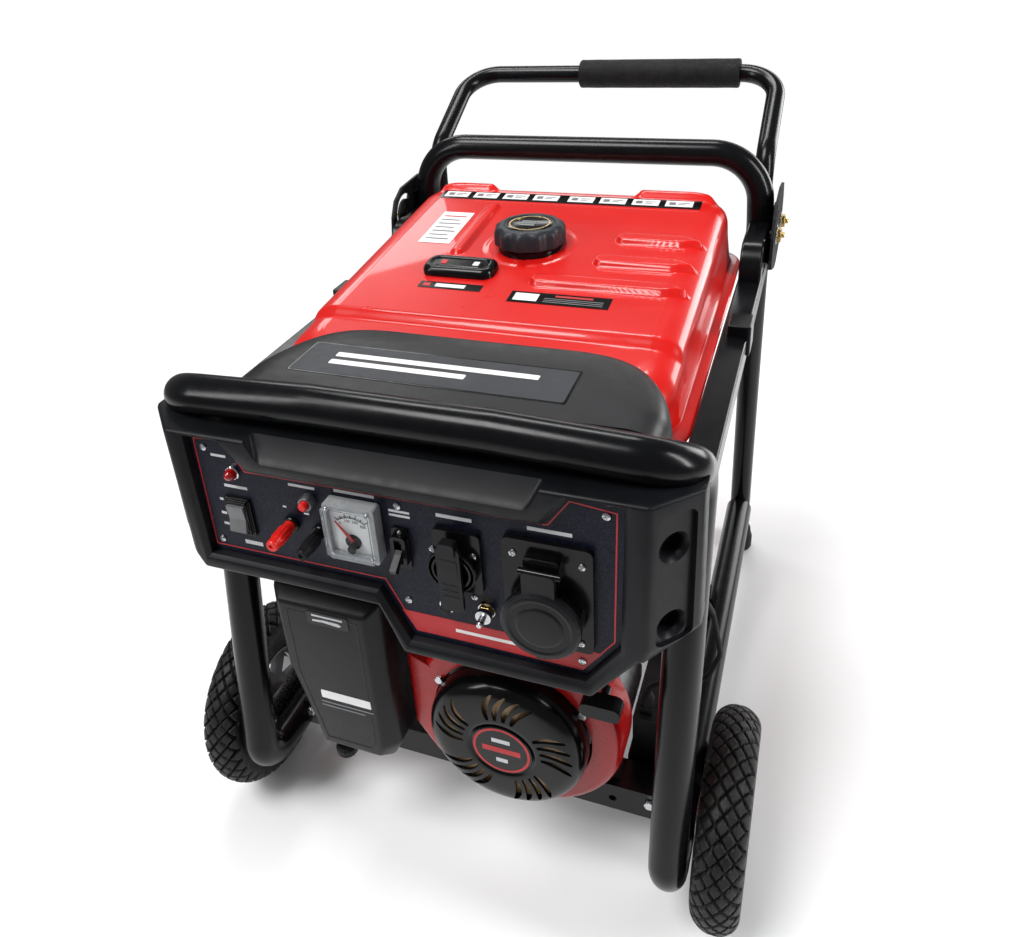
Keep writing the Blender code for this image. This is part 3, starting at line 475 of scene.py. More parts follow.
def tyre_rubber():
    """Black rubber, slightly dusty on the tread blocks and in the moulded rings."""
    n = Nodes("tyre_rubber", Specular_IOR_Level=0.25)
    dust = n.ramp(n.noise(55.0, 8.0, 0.7), [(0.35, (0.005, 0.005, 0.005)), (0.8, (0.022, 0.020, 0.019))])
    return n.finish(dust, n.span(n.noise(130.0, 6.0), 0.42, 0.62),
                    n.bump(n.noise(700.0, 6.0, 0.7), 0.3, 0.0006))


def foam_rubber():
    """Closed-cell foam with small pores."""
    n = Nodes("foam_rubber", Specular_IOR_Level=0.22)
    fade = n.ramp(n.noise(70.0, 6.0), [(0.3, (0.006, 0.006, 0.0065)), (0.8, (0.014, 0.014, 0.015))])
    return n.finish(fade, n.span(n.noise(200.0), 0.6, 0.8),
                    n.bump(n.cells(650.0).outputs["Distance"], 0.5, 0.0008))


TUBE = surface("tube_paint", (0.0026, 0.0028, 0.0036), (0.0046, 0.0049, 0.0060), 0.22, spread=0.03,
               grain=420.0, bump=0.02, specular=0.22)
SATIN = surface("satin_plastic", (0.0042, 0.0045, 0.0055), (0.0075, 0.0079, 0.0095), 0.38, grain=1300.0,
                specular=0.24)
SHELL = surface("panel_plastic", (0.0042, 0.0046, 0.0058), (0.0075, 0.0080, 0.0100), 0.40, grain=1200.0,
                bump=0.14, specular=0.22)
GLOSS = surface("gloss_plastic", (0.0022, 0.0022, 0.0026), (0.0042, 0.0042, 0.0048), 0.18, grain=400.0,
                bump=0.03, specular=0.24)
DULL = surface("dull_plastic", (0.0045, 0.0046, 0.0053), (0.0085, 0.0086, 0.0098), 0.5, grain=1000.0,
               bump=0.2, specular=0.18)
SLATE = surface("slate_plastic", (0.014, 0.016, 0.020), (0.024, 0.027, 0.033), 0.42, grain=1100.0,
                bump=0.15, specular=0.3)
METER_CASE = surface("meter_case", (0.28, 0.29, 0.30), (0.38, 0.39, 0.40), 0.3, grain=700.0, bump=0.05)
GREY = surface("grey_plastic", (0.13, 0.135, 0.14), (0.19, 0.195, 0.2), 0.35, bump=0.1)
TANK_RED = surface("tank_paint", (0.56, 0.006, 0.004), (0.63, 0.010, 0.007), 0.30, tone=7.0, spread=0.03,
                   wave=0.03, grain=260.0, bump=0.02, specular=0.25, Coat_Weight=0.5, Coat_Roughness=0.03)
# Same red paint as the tank, made darker to stand for the shade on the blower housing: painted shade, not a
# different paint.
SHADED_ENGINE_RED = surface("engine_paint_with_painted_shade", (0.30, 0.003, 0.004), (0.40, 0.006, 0.006), 0.3, tone=14.0, wave=0.05,
                     grain=240.0, bump=0.04, specular=0.3, Coat_Weight=0.25, Coat_Roughness=0.05)
RED_KNOB = surface("red_plastic", (0.62, 0.008, 0.006), (0.74, 0.016, 0.010), 0.3, grain=700.0, bump=0.05)
LAMP_RED = surface("lamp_lens", (0.42, 0.004, 0.004), (0.62, 0.012, 0.010), 0.12, grain=300.0, bump=0.02,
                   Transmission_Weight=0.35, Coat_Weight=0.6)
TRIM_RED = surface("red_print", (0.42, 0.004, 0.007), (0.50, 0.008, 0.011), 0.4, grain=600.0, bump=0.05)
PALE = surface("pale_print", (0.52, 0.54, 0.56), (0.68, 0.69, 0.70), 0.5, grain=800.0, bump=0.05)
WHITE = surface("white_label", (0.74, 0.74, 0.73), (0.84, 0.84, 0.83), 0.35, grain=500.0, bump=0.04)
LABEL = surface("black_label", (0.003, 0.003, 0.003), (0.006, 0.006, 0.006), 0.16, grain=300.0, bump=0.02,
                specular=0.3)
ZINC = surface("zinc_plate", (0.50, 0.51, 0.53), (0.72, 0.73, 0.75), 0.24, tone=160.0, spread=0.08,
               grain=1600.0, bump=0.2, Metallic=1.0)
BRASS = surface("yellow_zinc", (0.55, 0.36, 0.12), (0.75, 0.55, 0.24), 0.28, tone=160.0, spread=0.08,
                grain=1400.0, bump=0.2, Metallic=1.0)
CHROME = surface("chrome", (0.72, 0.73, 0.74), (0.82, 0.83, 0.84), 0.1, bump=0.03, Metallic=1.0)
CAST = surface("cast_aluminium", (0.30, 0.31, 0.32), (0.44, 0.45, 0.46), 0.58, tone=70.0, spread=0.08,
               grain=520.0, bump=0.6, depth=0.0008, Metallic=0.55)
EXHAUST = surface("exhaust_steel", (0.22, 0.21, 0.20), (0.38, 0.36, 0.33), 0.5, tone=24.0, spread=0.12,
                  grain=700.0, bump=0.3, Metallic=0.8)
STEEL = surface("dark_steel", (0.20, 0.20, 0.21), (0.32, 0.32, 0.33), 0.38, tone=90.0, spread=0.1,
                bump=0.3, stretch=(1.0, 6.0, 1.0), Metallic=0.95)
COPPER = surface("winding_steel", (0.22, 0.12, 0.06), (0.36, 0.20, 0.10), 0.45, tone=90.0, bump=0.4,
                 Metallic=0.8)
FAN = surface("tan_guard", (0.42, 0.27, 0.13), (0.62, 0.43, 0.24), 0.42, tone=60.0, bump=0.1, Metallic=0.25)
RIM_PAINT = surface("rim_paint", (0.16, 0.165, 0.17), (0.24, 0.245, 0.25), 0.38, tone=50.0, bump=0.15,
                    Metallic=0.55)
RUBBER = surface("soft_rubber", (0.006, 0.006, 0.006), (0.014, 0.0135, 0.013), 0.62, spread=0.1,
                 grain=600.0, bump=0.3, depth=0.0006, specular=0.22)
FLECK = fleck_paint("panel_paint", (0.0016, 0.002, 0.006), (0.014, 0.017, 0.036), 0.34)
LENS = clear_plastic("clear_lens", (0.93, 0.95, 0.97), 0.02)
TYRE = tyre_rubber()
FOAM = foam_rubber()


# ---------------------------------------------------------------- camera, floor and light
def aim(obj, direction):
    """Turn a light to shine along a direction."""
    obj.rotation_euler = Vector(direction).to_track_quat("-Z", "Y").to_euler()


def make_camera():
    data = bpy.data.cameras.new("camera")
    data.lens = 30.93
    data.sensor_width = 36.0
    data.shift_x = 0.0270
    data.shift_y = -0.1082
    obj = new_object("camera", data)
    obj.location = (0.35198, -1.04611, 1.10599)
    obj.rotation_euler = (math.radians(62.687), math.radians(3.878), math.radians(20.657))
    bpy.context.scene.camera = obj


def make_floor():
    """White floor that fades out round the machine."""
    n = Nodes("floor_white")
    reach = n.add("VectorMath")
    reach.operation = "LENGTH"
    n.link(n.place, reach.inputs[0])
    solid = n.add("MapRange", From_Min=0.7, From_Max=2.6, To_Min=1.0, To_Max=0.0)
    solid.interpolation_type = "SMOOTHSTEP"
    n.link(reach.outputs["Value"], solid.inputs["Value"])
    n.link(solid.outputs["Result"], n.bsdf.inputs["Alpha"])
    mesh = bpy.data.meshes.new("floor")
    corners = ((-3, -3), (3, -3), (3, 3), (-3, 3))
    mesh.from_pydata([(x, y, -0.0005) for x, y in corners], [], [(0, 1, 2, 3)])
    white = n.ramp(n.noise(3.0), [(0.2, (0.86, 0.86, 0.87)), (0.8, (0.90, 0.90, 0.90))])
    mesh.materials.append(n.finish(white, n.span(n.noise(7.0), 0.75, 0.9)))
    obj = new_object("floor", mesh)


def make_world():
    """Dim white surroundings; the backdrop that the camera sees is as pale as the floor."""
    world = bpy.data.worlds.new("studio")
    world.use_nodes = True
    tree = world.node_tree
    dim = tree.nodes["Background"]
    pale = tree.nodes.new("ShaderNodeBackground")
    for node, strength in ((dim, 0.17), (pale, 1.0)):
        set_inputs(node, {"Color": (1.0, 1.0, 1.0, 1.0), "Strength": strength})
    mix = tree.nodes.new("ShaderNodeMixShader")
    path = tree.nodes.new("ShaderNodeLightPath")
    tree.links.new(path.outputs["Is Camera Ray"], mix.inputs["Fac"])
    tree.links.new(dim.outputs["Background"], mix.inputs[1])
    tree.links.new(pale.outputs["Background"], mix.inputs[2])
    tree.links.new(mix.outputs["Shader"], tree.nodes["World Output"].inputs["Surface"])
    bpy.context.scene.world = world


def make_lights():
    make_world()
    data = bpy.data.lights.new("soft_sun", "SUN")
    data.energy = 2.2
    data.angle = math.radians(24)
    aim(new_object("soft_sun", data), (0.35, 0.45, -1.0))
    for name, place, target, width, height, watts in (
            ("overhead", (-0.5, 0.9, 2.6), (0, 0, 0.5), 1.6, 0.35, 26),
            ("front_left", (-1.7, -1.9, 1.9), (0, -0.2, 0.5), 0.35, 1.5, 22),
            ("right_side", (2.0, -0.3, 1.4), (0, 0.1, 0.6), 0.3, 1.6, 30),
            ("back_low", (0.0, 3.2, 1.75), (0, 0, 0.65), 3.0, 0.7, 16),
            ("back_left", (-2.5, 3.2, 2.75), (0, -0.3, 0.69), 1.4, 0.7, 15),
            ("back_right", (1.8, 2.6, 1.0), (0.2, 0, 0.6), 1.2, 1.4, 30)):
        data = bpy.data.lights.new(name, "AREA")
        data.shape = "RECTANGLE"
        data.size = width
        data.size_y = height
        data.energy = watts
        obj = new_object(name, data)
        obj.location = place
        aim(obj, Vector(target) - Vector(place))
    bpy.context.scene.view_settings.view_transform = "Standard"


# ---------------------------------------------------------------- tubular frame
def leg_y(z):
    """Y of the front legs' centre line, which leans back as it rises."""
    return -58.0 + (z - 131.0) * 0.163


def rear_leg_y(z):
    """Y of the rear legs' centre line, which spreads to the rear as it goes down."""
    return 618.0 + (600.0 - z) * 0.139


FRONT_HALF = [(HALF_W, rear_leg_y(BASE_Z) - LEG_R - 1.0, BASE_Z, 0), (HALF_W, leg_y(BASE_Z), BASE_Z, 38),
              (HALF_W, leg_y(625), 625, 42), (HALF_W, BAR_Y, BAR_Z, 48), (95, BAR_Y - 1, BAR_Z + 8, 300)]
HOOP_HALF = [(HALF_W, HOOP_Y, RAIL_TOP - RAIL_H + 1, 0), (HALF_W, HOOP_Y, 660, 300),
             (HALF_W - 5, HOOP_Y, HOOP_Z, 72)]
HANDLE_END_Y = PIVOT_Y + HANDLE_REACH * math.sin(math.radians(HANDLE_LEAN))
HANDLE_END_Z = HANDLE_BEND_Z + HANDLE_REACH * math.cos(math.radians(HANDLE_LEAN))
HANDLE_HALF = [(HANDLE_X, PIVOT_Y, PIVOT_Z - 16, 0), (HANDLE_X, PIVOT_Y, HANDLE_BEND_Z, 60),
               (HANDLE_X, HANDLE_END_Y, HANDLE_END_Z, 58)]


def front_groove(half):
    """Room for the front tube, a little wider than the tube."""
    return sweep(mirrored(half, 8), TUBE_R + 0.5, 24)


def make_tubes():
    """Front tube, rear hoop, side rails with their blocks and brackets, and the rear legs."""
    piece("front_tube", sweep(mirrored(FRONT_HALF), TUBE_R, 36), TUBE, replaces=("front_frame_tube",))
    piece("hoop_tube", sweep(mirrored(HOOP_HALF), LOOP_R, 36), TUBE, replaces=("upper_frame",))
    arch = [(492, 617), (492, 640), (505, 660), (522, 668), (HOOP_Y - 6, 668), (HOOP_Y - 6, 617)]
    for side, s in SIDES:
        x0, x1 = sorted((s * RAIL_X0, s * RAIL_X1))
        rail = box(x0, x1, leg_y(RAIL_TOP) + TUBE_R * 0.6, HOOP_Y - 8, RAIL_TOP - RAIL_H, RAIL_TOP)
        piece("side_rail_" + side, rail, TUBE, bevel=3.0)
        piece("hoop_bracket_" + side, prism(arch, "X", x0 + 1, x1 - 1), TUBE, bevel=4.0)
        x2, x3 = sorted((s * 259, s * 287))
        piece("rest_block_" + side, box(x2, x3, 315, 355, 596, 635), TUBE, bevel=2.5)
        make_rear_leg(side, s)


def make_rear_leg(side, s):
    x, top, bottom = s * HALF_W, RAIL_TOP - RAIL_H - 0.4, 44.0
    path = [Vector((x, rear_leg_y(z), z)) for z in (top, bottom)]
    leg = sweep(path, LEG_R, 32, cuts=((0, top), (-1, bottom)))
    flange = box(x - 13, x + 13, rear_leg_y(BASE_Z) - 44, rear_leg_y(BASE_Z), 62, 84.5)
    piece("rear_tube_" + side, merged([leg, flange]), TUBE, replaces=("rear_leg_" + side,), bevel=1.2,
          angle=50)
    foot = [(20, 0), (22, 0.6), (24, 2), (25, 4.4), (25, 24), (24.4, 26), (22.5, 31), (21, 42), (20.4, 43.5)]
    piece("foot_rubber_" + side, lathe(foot, (x, rear_leg_y(20), 0), "Z", 48), RUBBER,
          replaces=("rear_foot_" + side,))


def make_handle():
    """Bent handle tube with a slightly uneven foam grip."""
    piece("pull_tube", sweep(mirrored(HANDLE_HALF), HANDLE_R), TUBE, body="handle", replaces=("handle_tube",))
    x0, x1, inner = -60.0, 204.0, HANDLE_R + 0.5
    profile = [(inner, x0), (21.2, x0), (22.6, x0 + 1.2), (23.0, x0 + 4)]
    for k in range(1, 40):
        x = x0 + 4 + (x1 - x0 - 8) * k / 40
        profile.append((22.9 + 0.25 * value_noise(Vector((x * 0.05, 3.1, 0.7))), x))
    profile += [(23.0, x1 - 4), (22.6, x1 - 1.2), (21.2, x1), (inner, x1)]
    grip = piece("foam_grip", ring_solid(profile, (0, HANDLE_END_Y, HANDLE_END_Z), "X", 48), FOAM,
                 body="handle", replaces=("handle_grip",))


def make_plate_bolts():
    """Yellow-zinc hexagon heads with washers on the handle plates."""
    for side, s in SIDES:
        dress(DULL, 0.9, "handle_plate_" + side)
        x = s * (HALF_W + TUBE_R + 1.0)
        for k, (y, z, r) in enumerate(((PIVOT_Y, PIVOT_Z, 10.0), (575.0, 661.0, 11.5))):
            tag = "%s_%d" % (side, k)
            washer = band(4.8, r + 2.4, s * 4.1, s * 5.8, (x, y, z), "X")
            piece("plate_washer_" + tag, washer, ZINC, bevel=0.4)
            head = prism(hexagon(y, z, r), "X", x + s * 6.0, x + s * 11.5)
            piece("plate_bolt_" + tag, head, BRASS, bevel=0.9)
            end = lathe([(4.2, s * 11.0), (4.2, s * 15.0), (3.4, s * 16.0)], (x, y, z), "X", 24)
            piece("plate_stud_" + tag, end, BRASS)


def hex_head(name, x, z, r, y0, y1, look=ZINC, bevel=0.8):
    """Hexagon head or nut whose axis lies along Y."""
    piece(name, prism(hexagon(x, z, r), "Y", y0, y1), look, bevel=bevel)


def make_base():
    dress(TUBE, 0.9, "base_cross_front", "base_cross_rear")
    for name, y in (("front", 18), ("rear", 408)):
        for k, x in enumerate((-233, 233)):
            hex_head("cross_bolt_%s_%d" % (name, k), x, 136, 6.5, y - 5.5, y - 0.4)
    dress(RUBBER, 0.5, "mount_front", "mount_rear")
    dress(TUBE, 0.6, "battery_tray")
    dress(DULL, 1.5, "battery")
    for k, y in enumerate(TERMINAL_YS):
        clamp = band(4, 7.5, 226.2, 232, (TERMINAL_X, y, 0), "Z", 24)
        piece("terminal_clamp_%d" % k, clamp, ZINC, bevel=0.5)


def make_cable():
    """Cable from the front battery terminal, past the right leg, into the control box."""
    x, y = TERMINAL_X, TERMINAL_YS[0]
    route = fillet_path([(x, y, 227, 0), (x, y, 262, 18), (262, 92, 262, 16.5), (284, 98, 282, 14),
                         (296, 100, 318, 30), (284, 98, 380, 30), (248, 30, 520, 20), (219.6, 30, 520, 0)],
                        10)
    cable = piece("control_cable", sweep(route, 3.2, 16), RUBBER, replaces=("battery_cable",))
    boot = lathe([(8.5, 226.6), (8.5, 236), (6, 243), (4.4, 246), (3.4, 246)], (x, y, 0), "Z", 28)
    piece("terminal_boot", boot, RUBBER)


# ---------------------------------------------------------------- wheels
def tyre_shape(s):
    """Pneumatic tyre with a diamond tread."""
    half = [(66.6, 19.6), (72, 22.6), (78, 24.6), (83, 25.6), (84.5, 26.6), (86.5, 26.6), (88, 26.2),
            (96, 27.7), (103, 27.8), (109, 26.4), (113, 24.2), (116, 21.8), (118.6, 19.0), (120.8, 16.0),
            (122.6, 12.8), (123.8, 9.4), (124.6, 6.0), (124.95, 3.0), (124.95, 0.0)]
    curve = smooth_points(half, 3)
    section = curve + [(r, -x) for r, x in reversed(curve[:-1])]
    count, blocks, around, depth = 408, 34, 17.0, 4.2
    across = 2 * math.pi * WHEEL_R / blocks
    verts, faces = [], []
    m = len(section)
    for i in range(count):
        t = 2 * math.pi * i / count
        for r, x in section:
            bite = 0.0
            if r > 108:
                u, v = t * WHEEL_R / across, x / around
                near = 0.5 - max(abs((u + v) % 1.0 - 0.5), abs((u - v) % 1.0 - 0.5))
                near *= across * 0.62
                bite = depth * (1.0 - step01((near - 0.6) / 0.9)) * step01((r - 106) / 5)
            inward = math.copysign(min(bite, 2.0), x) if r < 120 else 0.0
            y, z = WHEEL_Y + (r - bite) * math.cos(t), WHEEL_R + (r - bite) * math.sin(t)
            verts.append((s * (WHEEL_X + x - inward), y, z))
    for i in range(count):
        a, b = i * m, (i + 1) % count * m
        faces += [[a + k, a + k + 1, b + k + 1, b + k] for k in range(m - 1)]
        faces.append([a + m - 1, a, b, b + m - 1])
    return verts, faces


def make_rim(side, s):
    """Steel disc with five openings."""
    profile = [(8.5, -25), (14, -25), (15, -24), (15, -14), (18, -12.2), (56, -9.4), (59.5, -10.6),
               (61.6, -14), (62, -19.5), (63, -21), (66, -21), (66, -17), (63.6, -12), (63.6, 12), (66, 17),
               (66, 21), (63, 21), (62, 19.5), (61.6, 2), (58, -2.6), (18, -2.0), (15, 0), (15, 18), (14, 19),
               (8.5, 19)]
    disc = ring_solid([(r, s * h) for r, h in profile], (s * WHEEL_X, WHEEL_Y, WHEEL_R), "X", 72)
    cuts = []
    for middle in range(18, 360, 72):
        outline = [polar(WHEEL_Y, WHEEL_R, 53, middle + 2.9 * a) for a in range(-8, 9)]
        outline += [polar(WHEEL_Y, WHEEL_R, 27, middle + 2.6 * a) for a in range(6, -7, -1)]
        cuts.append(prism(outline, "X", s * (WHEEL_X - 40), s * (WHEEL_X + 15)))
    piece("rim_" + side, disc, RIM_PAINT, body="wheel_" + side, replaces=("wheel_rim_" + side,), cut=cuts,
          bevel=0.8, angle=40)


def make_wheels():
    """Tyre, rim and valve on each wheel; axle, washer and nut stay on the frame."""
    for side, s in SIDES:
        body = "wheel_" + side
        piece("tyre_" + side, tyre_shape(s), TYRE, body=body, replaces=("wheel_tyre_" + side,), angle=60)
        make_rim(side, s)
        valve = lathe([(3, 0), (3, 10), (2.2, 12), (2.2, 19)], (0, 0, 0), "X", 20)
        seat = Matrix.Translation((s * (WHEEL_X - 2), WHEEL_Y + 55, WHEEL_R + 12))
        piece("valve_" + side, moved(valve, seat @ Matrix.Scale(s, 4, (1, 0, 0))), RUBBER, body=body)
        dress(ZINC, 0.8, "stub_axle_" + side)
        x = s * (HALF_W + TUBE_R + 0.4 + 52)
        piece("axle_nut_" + side, prism(hexagon(WHEEL_Y, WHEEL_R, 12.5), "X", x, x + s * 7), ZINC, bevel=1.0)
        piece("axle_washer_" + side, band(8.3, 15, 0, s * 1.8, (x - s * 2, WHEEL_Y, WHEEL_R), "X"), ZINC)


# ---------------------------------------------------------------- fuel tank
def tank_top(y):
    """Height of the tank's plain top."""
    return 660.0 + TANK_SLOPE * y


def flange_z(y):
    """Height of the seam round the tank."""
    return 606.0 + 0.041 * y


def ridge(x, y, x0, x1, y0, y1, radius, height, soft):
    """Height of a raised bead: a capsule between two points with rounded shoulders."""
    dx, dy = x1 - x0, y1 - y0
    t = min(max(((x - x0) * dx + (y - y0) * dy) / (dx ** 2 + dy ** 2), 0.0), 1.0)
    return height * step01((radius - math.hypot(x - x0 - t * dx, y - y0 - t * dy)) / soft)


def tank_relief(x, y):
    """Pressed shapes on the top: three pointed ribs, a bead, two rear pads, a ring and a front step."""
    h = 0.0
    rib_half, rib_height, rib_end, taper = 13.0, 7.5, 217.0, 30.0
    half = rib_half * min(max((rib_end - x) / taper, 0.0), 1.0) ** 0.6
    for x0, rib_y in ((104, 402), (90, 337), (25, 276)):
        h = max(h, rib_height * step01((half - math.hypot(max(x0 + 11.0 - x, 0.0), y - rib_y)) / 4.4))
    h = max(h, ridge(x, y, -98, -98, 340, 484, 11.0, 6.0, 6.0))
    for x0, x1 in ((-204, -122), (104, 204)):
        h = max(h, ridge(x, y, x0 + 6, x1 - 6, 552, 552, 16.0, 9.5, 13.0))
    h += 1.6 * step01((12.0 - abs(math.hypot(x - CAP_X, y - CAP_Y) - 52.0)) / 8.0)
    return h - 7.5 * (1.0 - step01((y - 164.0) / 16.0))


def tank_ring(w, y0, y1, r, side=100, corner=9):
    """Evenly spaced points on a rounded rectangle, always the same count."""
    pts = []
    corners = ((w - r, y1 - r, 0), (-w + r, y1 - r, 90), (-w + r, y0 + r, 180), (w - r, y0 + r, 270))
    for k, (cx, cy, start) in enumerate(corners):
        pts += [polar(cx, cy, r, start + 90.0 * i / corner) for i in range(corner + 1)]
        nx, ny, begin = corners[(k + 1) % 4]
        bx, by = polar(nx, ny, r, begin)
        ax, ay = pts[-1]
        count = side if k % 2 == 0 else int(side * 1.2)
        for i in range(1, count):
            f = i / count
            pts.append((ax + (bx - ax) * f, ay + (by - ay) * f))
    return pts


def make_tank():
    rings = []

    def add(w, y0, y1, r, height):
        rings.append([(x, y, height(x, y)) for x, y in tank_ring(w, y0, y1, r)])

    pan = ((150, 150, 500, 30, 541), (190, 112, 540, 30, 540.5), (214, 94, 554, 36, 546),
           (226, 84, 564, 40, 558))
    for w, y0, y1, r, z in pan:
        add(w, y0, y1, r, lambda x, y: z)
    flange = ((231, 78, 572, 44, -3), (246, 57, 581.5, 49, -3), (249.4, 54.2, 583.4, 50, -2.2),
              (250, 53.6, 584, 50, -0.5), (249.4, 54.2, 583.4, 50, 1.2), (247, 56, 582, 49, 2.0),
              (239.5, 68, 579.6, 47, 2.2), (237.5, 73, 579, 47, 2.6))
    for w, y0, y1, r, d in flange:
        add(w, y0, y1, r, lambda x, y: flange_z(y) + d)
    shoulder = [(236.0, 74.0, 578.0, 46.0, 1.0), (235.0, 75.5, 577, 45.6, 0.86),
                (233.4, 77.6, 574.6, 45, 0.6), (231.6, 79.4, 572.6, 44.4, 0.28),
                (230.6, 80.4, 571.6, 44.0, 0.0)]
    for w, y0, y1, r, f in smooth_points(shoulder, 3):
        def wall(x, y):
            low = flange_z(y) + 4.0
            high = tank_top(y) - 30.0 + tank_relief(x, y) * 0.5
            return high + (low - high) * f
        add(w, y0, y1, r, wall)
    bend = [(230.6, 80.4, 571.6, 44.0, -30.0), (229.4, 81.8, 570.4, 43.5, -22.0),
            (226.8, 84.6, 567.8, 43, -14.6), (222.0, 89.4, 563, 42, -8.6), (215.0, 96.4, 556, 41, -4.2),
            (206.5, 104.8, 547.4, 38, -1.6), (197.0, 114.2, 538, 36, -0.4)]
    for w, y0, y1, r, d in smooth_points(bend, 3)[1:]:
        share = 0.5 + 0.5 * step01((d + 30.0) / 26.0)
        add(w, y0, y1, r, lambda x, y: tank_top(y) + d + tank_relief(x, y) * share)
    w, y0, y1, r = bend[-1][:4]
    step, narrowest = 2.0, 6.0
    while w > narrowest:
        w, y0, y1, r = w - step, y0 + step, y1 - step, max(r - 0.5, 2.0)
        add(w, y0, y1, r, lambda x, y: tank_top(y) + tank_relief(x, y))
    piece("tank_shell", loft(rings), TANK_RED, replaces=("fuel_tank",), angle=60)
    for side, s in SIDES:
        x, z = s * 219.5, flange_z(572) + 2.0
        washer = band(3, 8, 0, 1.6, (x, 572.0, z), "Z", 36)
        piece("tank_washer_" + side, washer, ZINC, bevel=0.4)
        head = slab(x - 4.6, x + 4.6, 567.4, 576.6, 3.0, 3, z + 1.6, z + 6.4, "Z")
        piece("tank_bolt_" + side, head, ZINC, bevel=0.8)
    make_tank_labels()
    make_cap()
    make_gauge()


def decal(name, x0, x1, y0, y1, look, lift=0.35):
    """Thin sticker that follows the top of the tank."""
    nx, ny = (max(int(span / 6.0), 2) for span in (x1 - x0, y1 - y0))
    verts, faces = [], []
    for j in range(ny + 1):
        for i in range(nx + 1):
            x, y = x0 + (x1 - x0) * i / nx, y0 + (y1 - y0) * j / ny
            verts.append((x, y, tank_top(y) + tank_relief(x, y) + lift))
    for j in range(ny):
        for a in range(j * (nx + 1), j * (nx + 1) + nx):
            faces.append([a, a + 1, a + nx + 2, a + nx + 1])
    piece(name, (verts, faces), look)


def make_tank_labels():
    """Blank stickers: a long strip at the rear, a white one, a small strip and a black one."""
    decal("rear_strip", -196, 194, 508, 536, LABEL)
    for k in range(8):
        x = -190 + 47 * k + (6 if k > 3 else 0)
        for part, x0, x1, y0, y1, look, lift in (("box", 0, 38, 514, 533, WHITE, 0.6),
                                                 ("mark", 5, 14, 519, 528, GREY, 0.85),
                                                 ("line", 18, 33, 525, 527, GREY, 0.85),
                                                 ("dash", 18, 28, 520, 522, GREY, 0.85)):
            decal("rear_strip_%s_%d" % (part, k), x + x0, x + x1, y0, y1, look, lift)
    decal("white_sticker", -166, -119, 360, 460, WHITE, 0.5)
    for k in range(7):
        y, look = 372 + 12 * k, TRIM_RED if k == 6 else GREY
        decal("white_sticker_line_%d" % k, -160, -126 - 6 * (k % 2), y, y + 3.2, look, 0.75)
    decal("thin_strip", -114, -30, 240, 256, LABEL)
    decal("thin_strip_bar", -92, -52, 244, 252, WHITE, 0.6)
    decal("thin_strip_mark", -109, -99, 244, 252, TRIM_RED, 0.6)
    decal("black_sticker", 10, 134, 224, 250, LABEL)
    decal("black_sticker_box", 16, 46, 229, 246, WHITE, 0.6)
    decal("black_sticker_top", 66, 112, 242, 246, TRIM_RED, 0.6)
    for k in range(3):
        decal("black_sticker_line_%d" % k, 54, 126, 229 + 4 * k, 230.4 + 4 * k, GREY, 0.6)


def make_cap():
    """Twelve-lobed filler cap with a raised rim and a plain round badge."""
    base = tank_top(CAP_Y) + 5.8
    centre = (CAP_X, CAP_Y, base)
    profile = [(40, 0, 0), (45.6, 1.0, 0), (46.4, 1.4, 1), (46.6, 1.6, 3), (46.4, 1.7, 15), (45.8, 1.7, 18.5),
               (44.6, 1.5, 21.4), (42.6, 1.0, 23.6), (40, 0.5, 25.2), (37.4, 0.2, 25.9), (35.4, 0, 26),
               (33.8, 0, 25.4), (33, 0, 24.0), (32.6, 0, 23.8), (4, 0, 23.8)]
    body = loft([[(x, y, base + h) for x, y in lobed(CAP_X, CAP_Y, r, wave, 192)] for r, wave, h in profile])
    piece("cap_body", body, SLATE, body="cap", replaces=("fuel_cap",), angle=50)
    badge = lathe([(29, 23.9), (30, 24.3), (30, 24.8), (29, 25.2)], centre, "Z", 64)
    piece("cap_badge", badge, LABEL, body="cap")
    piece("cap_badge_ring", band(25.6, 27.4, 25.2, 25.5, centre, "Z", 64), BRASS, body="cap")
    bars = [box(CAP_X - 12, CAP_X + 9, CAP_Y - 3 + 7 * k, CAP_Y + 1.0 + 7 * k, base + 25.2, base + 25.5)
            for k in (-1, 0, 1)]
    piece("cap_badge_bars", merged(bars), GREY, body="cap")
    piece("filler_neck", band(38, 43.5, -9, -1.0 - TANK_SLOPE * 10, centre, "Z", 64), GLOSS)


def make_gauge():
    """Gauge housing with a dark window and two marks, level with the sloping tank top."""
    y = 290.0

    def layer(x0, x1, half, r, seg, h):
        return [(px, py, tank_top(py) + h) for px, py in round_rect(x0, x1, y - half, y + half, r, seg)]
    steps = ((0, 0.6), (0, 5), (0.8, 8), (2.6, 10.2), (5.2, 11.6), (8, 12.0), (9.2, 11.2), (10, 9.6))
    body = loft([layer(d - 122, -26 - d, 21 - d, 14 - d * 0.6, 8, h) for d, h in steps])
    piece("gauge_body", body, GLOSS, replaces=("fuel_gauge",), angle=50)
    piece("gauge_window", loft([layer(-105, -43, 9, 4, 6, 9.2), layer(-104, -44, 8, 4, 6, 10.4)]), LABEL)
    for k, x in enumerate((-100, -56)):
        mark = loft([layer(x, x + 8, 5, 1, 3, h) for h in (10.2, 10.9)])
        piece("gauge_mark_%d" % k, mark, PALE if k else TRIM_RED)


